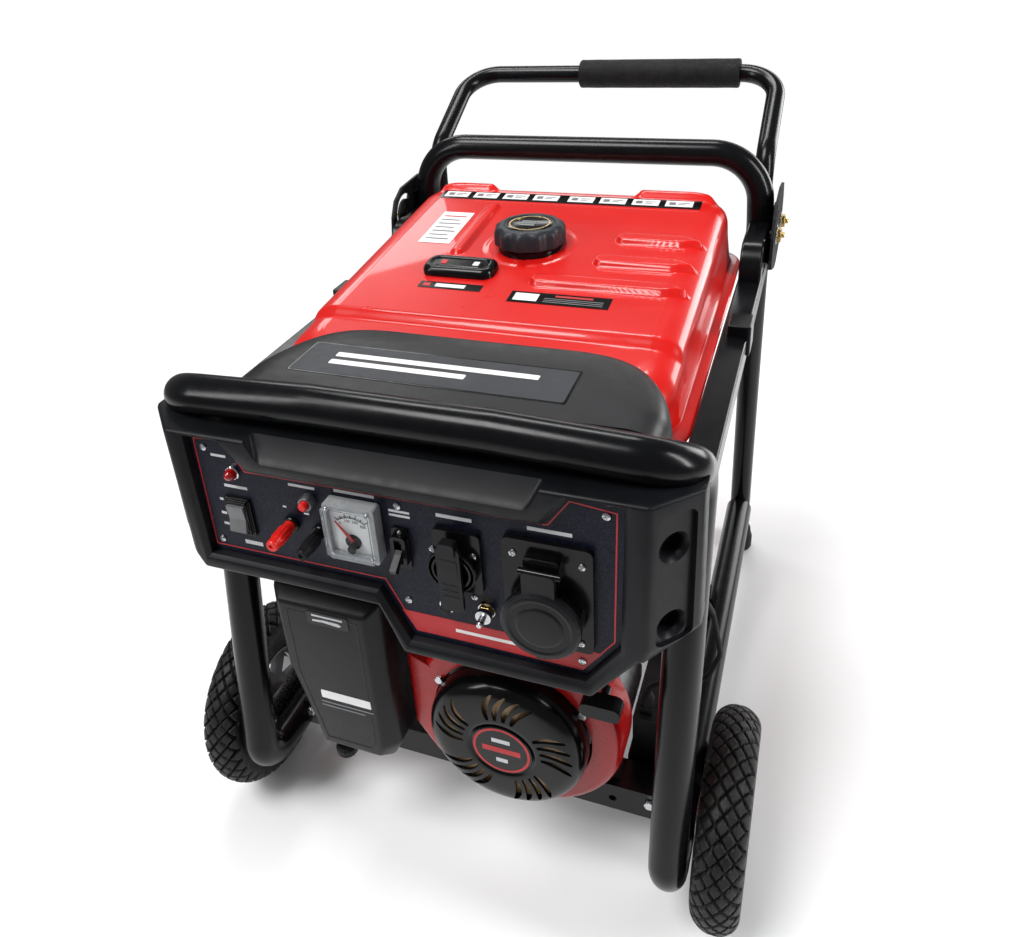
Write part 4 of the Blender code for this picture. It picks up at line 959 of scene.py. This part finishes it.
# ---------------------------------------------------------------- cowl and nameplate
def make_cowl():
    """Plastic hood over the front of the tank, with a plain nameplate in its top."""
    def ring(right, left, rear, z):
        corner = [(0, -34), (0, -12), (0, 12 - rear * 0.5), (8, 44 - rear), (22, 74 - rear), (40, 95 - rear),
                  (62, 107 - rear), (92, 112 - rear), (140, 112 - rear)]
        curve = smooth_points(corner, 5)
        outline = [(246 - right - dx, y, z) for dx, y in curve]
        return outline + [(left + dx - 246, y, z) for dx, y in reversed(curve)]
    steps = smooth_points([(0, 8, 0, 641), (0.1, 12, 0, 650), (0.5, 18, 0, 658), (3, 38, 1, 675),
                           (9, 52, 4, 686), (18, 63, 8, 691), (32, 78, 14, 693.4)], 4)
    shape = loft([ring(*p) for p in steps])

    def clear(w, y0, y1, r, height):
        return [(x, y, height(y)) for x, y in round_rect(-w, w, y0, y1, r, 10)]
    tank = loft([clear(244.6, 67, 586, 50, lambda y: 600.0),
                 clear(244.6, 67, 586, 50, lambda y: flange_z(y) + 4),
                 clear(236.8, 73, 579, 46, lambda y: flange_z(y) + 5),
                 clear(233, 78, 574, 44, lambda y: tank_top(y) - 34),
                 clear(227, 84, 567, 42, lambda y: tank_top(y) - 18),
                 clear(213, 97, 554, 40, lambda y: tank_top(y) - 6.4)])
    recess = slab(-150, 150, -8, 58, 3, 3, 691.2, 700, "Z")
    piece("cowl_shell", shape, SATIN, replaces=("top_cowl",), cut=[tank, recess, front_groove(FRONT_HALF)],
          angle=38)
    piece("nameplate_edge", slab(-149.4, 149.4, -7.4, 57.4, 3, 4, 691.3, 693.7, "Z"), GLOSS, bevel=0.3)
    piece("nameplate", slab(-147.4, 147.4, -5.4, 55.4, 2.4, 4, 693.4, 694.0, "Z"), SLATE, bevel=0.2)
    for k, (x0, x1, y) in enumerate(((-112, 112, 30), (-112, 40, 14))):
        piece("nameplate_bar_%d" % k, slab(x0, x1, y, y + 9, 1.5, 3, 693.8, 694.3, "Z"), WHITE)


# ---------------------------------------------------------------- control panel
WINDOW = [(-228, 651), (-185, 651), (-158, 619), (151, 619), (175, 651), (224, 651), (221, 489),
          (187, 440), (4, 440), (-25, 501), (-228, 501)]
FRONT_EDGE = [(-246, 659), (-246, 500), (-238, 482), (-27, 482), (-5, 424), (194, 424), (238, 482),
              (244, 484), (246, 500), (246, 659)]
BACK_EDGE = [(-286, 659), (-288, 506), (-268, 482), (-27, 482), (-5, 424), (194, 424), (238, 482), (268, 482),
             (288, 506), (286, 659)]


def screw(name, x, z, y, r=3.6, spin=20):
    """Pan-head screw with a cross recess, standing on a face that looks forward."""
    head = lathe([(r, 0), (r, -0.7), (r * 0.9, -1.5), (r * 0.6, -2.1), (0, -2.35)], (0, 0, 0), n=28)
    long, short = r * 0.62, r * 0.12
    slots = [box(-u, u, -3.2, -1.1, -v, v) for u, v in ((long, short), (short, long))]
    place = placed((x, y, z), spin, "Y")
    piece(name, moved(head, place), ZINC, cut=[moved(s, place) for s in slots], angle=30)


def screws(name, y, r, spin, step, spots):
    """Screws at (x, z) spots; each is turned by one more step than the last."""
    for k, (x, z) in enumerate(spots):
        screw("%s_screw_%d" % (name, k), x, z, y, r, spin + step * k)


def make_surround():
    """Moulded frame round the control plate with a finger pocket under the bar and holes at its sides."""
    body = loft([facing(FRONT_EDGE, -96), facing(BACK_EDGE, -56), facing(BACK_EDGE, -35)])
    base = rounded("surround", body, 11.5, 7, lambda a, b: max(a, b) < -50)
    lips = ((-110, 6.5), (-96.2, 6.5), (-94.6, 4.0), (-91.5, 0.6), (-89, 0.0), (-20, 0.0))
    window = loft([facing(grown(WINDOW, d), y) for y, d in lips])
    levels = ((633, 136, -97.5), (637, 140, -94), (641, 143, -89), (681, 163, -66), (702, 176, -58))
    pocket = loft([[(x, y, z) for x, y in round_rect(-half, half - 1, -115, back, 5, 4)]
                   for z, half, back in levels])
    cuts = [window, pocket, front_groove([(HALF_W, leg_y(300), 300, 0)] + FRONT_HALF[2:])]
    for s in (-1, 1):
        place = placed((s * 267, -76, 0), s * 46.4, "Z")
        cuts.append(moved(slab(-20, 20, 498, 644, 9, 5, -10.4, 4.6), place))
        for z in (517, 605):
            hole = lathe([(0, -30), (16.5, -30), (16.5, 4.8), (12.6, 9), (12, 12), (12, 20)], (0, 0, z))
            cuts.append(moved(hole, place))
    piece("surround", base, SHELL, replaces=("panel_surround",), cut=cuts, bevel=1.6, angle=34)


def outline_strip(poly, y, width, back=None):
    """Thin printed line round an outline, with an outer edge that may reach back."""
    n = len(poly)
    verts, faces = facing(poly, y) + facing(grown(poly, -width), y), belt(0, n, n)
    if back is not None:
        verts += facing(poly, back)
        faces += [[2 * n + i, 2 * n + (i + 1) % n, (i + 1) % n, i] for i in range(n)]
    return verts, faces


def print_bar(name, x0, x1, z0, z1, look, lift=0.25):
    """Plain bar printed on the control plate."""
    piece(name, box(x0, x1, PANEL_Y - lift, PANEL_Y + 0.5, z0, z1), look)


def make_panel():
    make_surround()
    dress(SATIN, 1.0, "control_box")
    holes = [box(-193.5, -172.5, PANEL_Y - 12, PANEL_Y + 5, 538, 573)]
    for r, (x, z) in ((5.4, DC_RESET), (6.6, AC_RESET)):
        holes.append(lathe([(r, -20), (r, 20)], (x, PANEL_Y, z), n=32))
    plate = prism(grown(WINDOW, -0.6), "Y", PANEL_Y, PANEL_Y + 3)
    piece("panel_plate", plate, FLECK, replaces=("control_plate",), cut=holes, bevel=0.5)
    outline = [(-222, 646), (-187, 649), (-166, 614), (153, 615), (174, 645), (217, 640), (215, 491),
               (183, 446), (7, 449), (-21, 509), (-225, 509)]
    piece("panel_red_line", outline_strip(outline, PANEL_Y - 0.22, 1.5), TRIM_RED)
    stripe = prism([(-6, 473), (203, 473), (184, 448), (8, 448)], "Y", PANEL_Y - 0.3, PANEL_Y + 0.5)
    piece("panel_red_stripe", stripe, TRIM_RED)
    print_bar("stripe_bar", 52, 150, 458.5, 462.5, WHITE, 0.5)
    bars = [(-204, -186, 626.5, 629.5), (-196, -168, 590, 593.4), (-206, -200, 571, 574),
            (-208, -200, 553, 556), (-208, -200, 539, 542), (-186, -164, 518, 523), (-116, -86, 606, 609),
            (-64, -20, 608.5, 612), (-6, 16, 597, 599.6), (-6, 16, 592, 594.6), (44, 80, 601, 605),
            (134, 176, 605, 609), (-128, -124, 577, 579), (-104, -98, 573, 575)]
    for k, sides in enumerate(bars):
        print_bar("caption_%d" % k, *sides, PALE)
    screws("plate", PANEL_Y - 0.1, 4.2, 15, 37,
           [(-211, 636), (-215, 518), (4, 605), (3, 488), (207, 635), (183, 458)])
    screws("small_socket", FACE - 5.0, 3.4, 10, 41, [(39, 566), (81, 566), (79, 516)])
    screws("large_socket", FACE - 6.0, 3.8, 25, 29, [(121, 581), (186, 579), (184, 487), (121, 487)])
    screws("breaker", FACE - 2.0, 2.6, 5, 50, [(4, 575), (4, 536)])


def make_controls():
    piece("switch_bezel", slab(-199, -167, 532, 579, 3, 5, PANEL_Y - 3.4, PANEL_Y + 1), GLOSS, bevel=0.7,
          add=[slab(-196, -170, 535, 576, 2, 5, PANEL_Y - 6.4, PANEL_Y - 1)],
          cut=[box(-193.6, -172.4, PANEL_Y - 14, PANEL_Y + 4, 537.9, 573.1)])
    dress(GREY, 0.8, "engine_switch")
    for kind, (x, z), sleeve, look in (
            ("dc", DC_RESET, [(5.3, 2), (9, 2), (9, -4), (7.6, -9), (5.3, -9)], STEEL),
            ("ac", AC_RESET, [(6.5, 2), (9, 2), (9, -4.5), (8, -5.5), (6.5, -5.5)], CHROME)):
        piece(kind + "_reset_bushing", ring_solid(sleeve, (x, PANEL_Y, z)), look, bevel=0.3)
    for kind, (x, z), cap, look in (
            ("dc", DC_RESET, [(4.8, -0.5), (4.8, -12), (4.4, -13.3), (3.4, -14)], RED_KNOB),
            ("ac", AC_RESET, [(6, -0.5), (6, -10), (5.2, -11.6), (4, -12)], DULL)):
        piece(kind + "_reset_cap", lathe(cap, (x, FACE, z), n=36), look, body=kind + "_button",
              replaces=(kind + "_reset_button",))
    lamp_at = (-180, FACE, 611)
    piece("pilot_ring", ring_solid([(6.8, 0), (8, 0), (8, -3.0), (7.2, -3.8), (6.8, -3.8)], lamp_at), CHROME)
    lamp = [(6.7, 0), (6.7, -3.5), (6.2, -6.5), (5.2, -9.4), (3.4, -11.7), (1.2, -12.4), (0, -12.5)]
    piece("pilot_lens", lathe(smooth_points(lamp, 3), lamp_at), LAMP_RED, replaces=("pilot_lamp",))
    make_posts()
    make_meter()
    dress(GLOSS, 0.6, "breaker_body")
    dress(SATIN, 0.7, "breaker_toggle")
    dress(GLOSS, 0.8, "socket_small")
    dress(SATIN, 1.0, "socket_small_flap")
    dress(GLOSS, 1.0, "socket_large")
    dress(SATIN, 1.2, "socket_large_lid")
    make_socket_trim()
    ground = [(9, 0), (9, -1.4), (5, -1.6), (5, -6), (8, -6.4), (8, -11.4)]
    ground += [(3.2 if h % 2 else 3.6, -h) for h in range(12, 20)] + [(3.4, -21), (2.4, -23)]
    piece("ground_stud", lathe(ground, (88, FACE, 497), n=32), ZINC, replaces=("ground_terminal",), angle=28)
    hex_head("ground_nut", 88, 497, 9, FACE - 6.2, FACE - 1.6, BRASS, 0.7)


def make_posts():
    """Screw-down terminals: ribbed caps on a plain stem."""
    profile = ((6.8, 0, 12.4), (7.5, 0.3, 13.2), (7.6, 0.7, 15), (7.5, 0.7, 28.6), (7.2, 0.4, 30.2),
               (6.6, 0, 31), (6.6, 0, 37.4), (6.2, 0, 39), (5.4, 0, 39.9), (2.6, 0, 40), (2.4, 0, 38.5))
    for name, x, z, cap_look, stem_look in (("red", -120, 559, RED_KNOB, RED_KNOB),
                                            ("black", -87, 555, DULL, GLOSS)):
        body = "post_" + name
        collar = lathe([(9, 0), (9, -4.2), (8.4, -5)], (x, FACE, z), n=36)
        piece("post_collar_" + name, collar, GLOSS, body=body, replaces=("dc_post_" + name,))
        piece("post_stem_" + name, lathe([(6.2, -5), (6.2, -12.4)], (x, FACE, z), n=32), stem_look, body=body)
        cap = loft([facing(lobed(x, z, r - dent / 2, -dent / 2, 96), FACE - h) for r, dent, h in profile])
        piece("post_cap_" + name, cap, cap_look, body=body, angle=45)


def text_mesh(name, text, size, place, look):
    """Flat figures standing in the plane of the panel."""
    curve = bpy.data.curves.new(name, "FONT")
    curve.body = text
    curve.size = size * MM
    curve.extrude = 0.00006
    curve.align_x = "CENTER"
    curve.align_y = "CENTER"
    curve.resolution_u = 3
    temp = new_object(name, curve)
    bpy.context.view_layer.update()
    mesh = bpy.data.meshes.new_from_object(temp.evaluated_get(bpy.context.evaluated_depsgraph_get()))
    bpy.data.objects.remove(temp, do_unlink=True)
    mesh.transform(placed(at(*place), 90, "X"))
    piece(name, mesh, look)


def make_meter():
    """Moving-coil meter: grey case, white dial with a numbered arc, red needle and a clear front."""
    dress(METER_CASE, 0.8, "voltmeter_body")
    x, z = METER_X, METER_Z
    dial_y, pivot_z, start, sweep_angle = FACE - 8.3, z - 8, 128, 76
    piece("meter_dial", slab(x - 22.8, x + 22.8, z - 25.6, z + 26.6, 1.5, 4, dial_y - 0.5, dial_y), WHITE)
    ticks = []
    for k in range(31):
        t = math.radians(start - sweep_angle * k / 30)
        long = 4.6 if k % 10 == 0 else (3.4 if k % 5 == 0 else 2.2)
        wide = 0.42 if k % 5 == 0 else 0.22
        c, s = math.cos(t), math.sin(t)
        corners = ((24.4, -wide), (24.4, wide), (24.4 + long, wide), (24.4 + long, -wide))
        ticks.append([(x + rr * c - ww * s, pivot_z + rr * s + ww * c) for rr, ww in corners])
    inner = [polar(x, pivot_z, 24.0, start - sweep_angle * k / 40) for k in range(41)]
    outer = [polar(x, pivot_z, 24.5, start - sweep_angle * k / 40) for k in range(40, -1, -1)]
    ticks.append(inner + outer)
    piece("meter_ticks", merged([prism(tick, "Y", dial_y - 0.72, dial_y - 0.5) for tick in ticks]), LABEL)
    for k, label in enumerate(("0", "100", "200", "300")):
        u, v = polar(x, pivot_z, 20.6, start - sweep_angle * k / 3)
        text_mesh("meter_figure_%d" % k, label, 4.6, (u, dial_y - 0.6, v), LABEL)
    dress(TRIM_RED, 0.0, "voltmeter_needle")
    hub = lathe([(8.5, -8.8), (8.5, -10.6), (7.6, -11.3)], (x, FACE, pivot_z - 4))
    piece("meter_hub", hub, GLOSS)
    adjuster = lathe([(4.6, -14.4), (4.6, -15.6), (3.8, -16.4)], (x, FACE, pivot_z - 10), n=32)
    piece("meter_adjuster", adjuster, GLOSS)
    dress(LENS, 0.8, "voltmeter_lens")
    screws("meter", FACE - 14.2, 2.2, 0, 30, [(x + dx, z + dz) for dz in (-26, 27) for dx in (-22, 22)])


def make_socket_trim():
    """Raised details on the lids of both sockets."""
    x, z = 61.0, 550.0
    ring = ring_solid([(20, -15.0), (24, -15.0), (24.6, -14.2), (20, -14.2)], (x, FACE, z), n=64)
    piece("small_socket_ring", ring, SATIN)
    ribs = [box(x - 8, x + 8, FACE - 20.6, FACE - 19.8, z - 28 + 7 * k, z - 25.4 + 7 * k) for k in range(3)]
    panel = slab(x - 9, x + 9, z, z + 18, 2, 4, FACE - 20.5, FACE - 19.8)
    piece("small_flap_relief", merged(ribs + [panel]), SATIN, body="flap_small", bevel=0.3)
    x, z = 150.0, 515.0
    outer = ring_solid([(29, -25.8), (31, -26.8), (33.5, -26.8), (35.5, -25.8)], (x, FACE, z), n=72)
    piece("large_lid_ring", outer, SATIN, body="lid_large")
    boss = lathe([(24, -25.8), (23, -26.8), (20, -27.2)], (x, FACE, z), n=64)
    piece("large_lid_boss", boss, SATIN, body="lid_large", angle=50)
    tab = slab(x - 6, x + 6, z - 41, z - 34, 3, 4, FACE - 24, FACE - 19)
    piece("large_lid_tab", tab, SATIN, body="lid_large", bevel=1.0)
    pin = lathe([(3.4, -20), (3.4, 20)], (x, FACE - 19, z + 58), "X", 28)
    piece("large_hinge_pin", pin, GLOSS, bevel=0.4)


# ---------------------------------------------------------------- engine
def arc_slot(r0, r1, start, lean, width0, width1, n=10):
    """Curved louvre: its centre line runs from radius r0 to r1 while turning by lean degrees."""
    left, right = [], []
    for k in range(n + 1):
        f = k / n
        r = r0 + (r1 - r0) * f
        a = math.radians(start + lean * f * f)
        w = (width0 + (width1 - width0) * f) * 0.5 * math.sin(math.pi * (f * 0.86 + 0.12)) ** 0.5
        for row, v in ((left, w), (right, -w)):
            x, z = r * math.cos(a) - v * math.sin(a), r * math.sin(a) + v * math.cos(a)
            row.append((CRANK_X + x, CRANK_Z + z))
    return left + list(reversed(right))


def make_starter():
    """Recoil starter cover with louvres, a tan guard behind them, a plain badge and its bolts."""
    outside = smooth_points([(42, -50.0), (60, -49.9), (72, -49.4), (81, -47.6), (88, -43.6), (92.4, -37.6),
                             (94.4, -30), (95, -23), (95, -16)], 3)
    profile = [(37.4, -47.4), (39.4, -48.2), (40.6, -49.6)] + outside
    profile += [(91, -16), (90.4, -30), (86, -39), (78, -44.6), (68, -46.4)]
    cuts = []
    for group in range(5):
        for k in (-1.5, -0.5, 0.5, 1.5):
            outline = arc_slot(47, 83, 90 + 72 * group + 11.5 * k, -11, 5.6, 10.0)
            cuts.append(prism(outline, "Y", -62, -36))
    piece("starter_cover", lathe(profile, CRANK, n=120), GLOSS, replaces=("recoil_cover",), cut=cuts,
          bevel=0.7, angle=42, segments=2)
    guard = ring_solid([(41.4, -43.6), (84, -37.6), (84, -36.8), (41.4, -42.8)], CRANK, n=72)
    piece("starter_guard", guard, FAN)
    dress(DULL, 0.5, "recoil_pulley")
    disc = lathe([(35.6, -47.5), (36.4, -48), (36.4, -49.2), (35.6, -49.8)], CRANK, n=80)
    piece("starter_badge", disc, LABEL)
    piece("starter_badge_ring", band(31.4, 34.4, -49.8, -50.0, CRANK, n=80), TRIM_RED)
    for k, (half, low, high) in enumerate(((23, -4, 4), (11, 12, 18), (7, -19, -13))):
        bar = box(CRANK_X - half, CRANK_X + half, -50.0, -49.8, CRANK_Z + low, CRANK_Z + high)
        piece("starter_badge_bar_%d" % k, bar, PALE if k else TRIM_RED)
    for k in range(3):
        hex_head("starter_bolt_%d" % k, *polar(CRANK_X, CRANK_Z, 100, 30 + 120 * k), 5.5, -19, -14, bevel=0.7)
    dress(GLOSS, 5.0, "recoil_grip", segments=4)


def make_blower():
    """Red sheet housing round the flywheel; its red is the tank's paint darkened as painted shade."""
    outline = [polar(CRANK_X + 4, CRANK_Z + 4, 128, -128 + 278 * k / 71) for k in range(72)]
    outline += [(-56, 330), (-56, 210), (-30, 168)]
    cx, cz = (sum(values) / len(outline) for values in zip(*outline))

    def layer(d, y):
        arms = [Vector((x - cx, z - cz)) for x, z in outline]
        arms = [arm * (1.0 - d / arm.length) for arm in arms]
        return [(cx + arm.x, y, cz + arm.y) for arm in arms]
    steps = ((0, 35), (0, -2), (1.0, -6.4), (3.4, -10.4), (7, -13), (11, -14))
    bore = lathe([(97, -60), (97, 27.5), (84, 27.5), (84, 90)], CRANK, n=96)
    step = box(-120, 260, 17.4, 40, 100, 168.2)
    piece("blower_shell", loft([layer(*p) for p in steps]), SHADED_ENGINE_RED, replaces=("blower_housing",),
          cut=[bore, step], bevel=1.2, angle=40)


def make_air_filter():
    """Filter cover with a raised line, a blank label and a blank strip."""
    wide = [(-206, 420), (-64, 420), (-66, 190), (-78, 166), (-172, 166), (-206, 312)]
    narrow = [(-192, 408), (-78, 408), (-80, 196), (-88, 180), (-164, 180), (-192, 306)]
    shell = loft([facing(wide, -6), facing(wide, -34), facing(narrow, -52)])
    mesh = rounded("filter_shell", shell, 4.5, 5, lambda a, b: min(a, b) < -20)
    piece("filter_shell", mesh, SATIN, replaces=("air_filter_cover",), angle=30)
    dress(DULL, 1.2, "air_filter_base")
    dress(DULL, 1.5, "air_filter_knob")
    dress(DULL, 1.0, "choke_lever")
    rim = [(-182, 398), (-88, 398), (-90, 201), (-97, 190), (-160, 190), (-182, 300)]
    piece("filter_face_line", outline_strip(rim, -52.3, 2.0, -51.0), GLOSS)
    piece("filter_label", slab(-153, -99, 384, 403, 2.5, 4, -52.9, -51.6), LABEL)
    piece("filter_label_bar", box(-146, -106, -53.1, -52.8, 397, 399.6), PALE)
    lever = [(-146, 389), (-132, 390), (-112, 388), (-108, 390), (-112, 393), (-130, 393.4), (-146, 392)]
    piece("filter_label_mark", prism(lever, "Y", -53.1, -52.8), PALE)
    piece("filter_strip", slab(-155, -88, 263, 275, 1, 3, -52.9, -51.6), WHITE)
    for k in range(2):
        piece("filter_line_%d" % k, box(-157, -86 - 12 * k, -52.6, -51.8, 255 - 6 * k, 256.6 - 6 * k), GREY)


def make_alternator():
    """Ribbed cast body with vents in its rear end, feet and through-bolts."""
    sections = ((179, 84, 0), (180.5, 88, 0), (194, 101, 0), (197, 101.5, 0), (202, 101.5, 0),
                (203.5, 101.5, 3.6), (386, 101.5, 3.6), (388, 101.5, 0), (392, 101.5, 0), (394, 100, 0),
                (403, 82, 0), (405, 80, 0), (431, 80, 0), (434, 78.5, 0), (446, 67, 0), (448, 64, 0))
    rings = []
    for y, r, rib in sections:
        ribbed = [r + rib * step01((math.cos(36 * math.radians(k)) - 0.1) / 0.5) for k in range(360)]
        rings.append(facing([polar(CRANK_X, CRANK_Z, rr, k) for k, rr in enumerate(ribbed)], y))
    cuts = [lathe([(18, 150), (18, 470)], CRANK, n=48), lathe([(92, 214), (92, 390)], CRANK, n=64)]
    for k in range(12):
        place = placed(CRANK, 30 * k + 15, "Y")
        cuts.append(moved(box(72, 95, 409, 427, -6, 6), place))
        cuts.append(moved(box(30, 56, 440, 460, -3.5, 3.5), place))
    feet = [box(CRANK_X + x, CRANK_X + x + 66, 410, 440, 168, 202) for x in (-96, 30)]
    piece("alternator_shell", loft(rings), CAST, replaces=("alternator_housing",), add=feet, cut=cuts,
          bevel=0.8, angle=40, segments=2)
    for k in range(4):
        hex_head("alternator_bolt_%d" % k, *polar(CRANK_X, CRANK_Z, 90, 45 + 90 * k), 6.5, 396, 405)
    for k, x in enumerate((CRANK_X - 80, CRANK_X + 80)):
        piece("foot_bolt_%d" % k, lathe([(7, 180), (7, 188), (5.6, 190)], (x, 425, 22), "Z", 24), ZINC)


def make_muffler():
    """Pressed silencer box with two beads, an inlet stub and an open tail pipe."""
    bends = ((196, 14), (197.4, 9), (200, 4), (204, 1), (208, 0), (244, 0), (248, -2.4), (254, -2.4),
             (258, 0), (318, 0), (322, -2.4), (328, -2.4), (332, 0), (368, 0), (372, 1), (376, 4),
             (378.6, 9), (380, 14))
    shell = loft([facing(round_rect(-196 + d, -50 - d, 300 + d, 420 - d, 30, 10), y) for y, d in bends])
    tail = sweep(fillet_path([(-150, 300, 400, 0), (-150, 330, 438, 18), (-150, 372, 438, 0)]), 13)
    inlet = lathe([(15, 166.6), (15, 210)], (-74, 0, 350), n=32)
    opening = lathe([(11, 345), (11, 390)], (-150, 0, 438), n=32)
    piece("muffler_shell", shell, EXHAUST, replaces=("muffler",), add=[tail, inlet], cut=[opening],
          bevel=0.6, angle=40, segments=2)
    for k, z in enumerate((330, 390)):
        hex_head("muffler_bolt_%d" % k, -123, z, 6, 379.5, 386)


def make_engine():
    dress(CAST, 1.5, "crankcase")
    dress(CAST, 0.8, "cylinder_head")
    dress(STEEL, 0.6, "flywheel_crankshaft")
    dress(COPPER, 0.8, "alternator_rotor")
    make_alternator()
    make_muffler()
    make_blower()
    make_starter()
    make_air_filter()


make_camera()
make_cable()
make_floor()
make_lights()
make_tubes()
make_handle()
make_plate_bolts()
make_base()
make_wheels()
make_tank()
make_cowl()
make_panel()
make_controls()
make_engine()
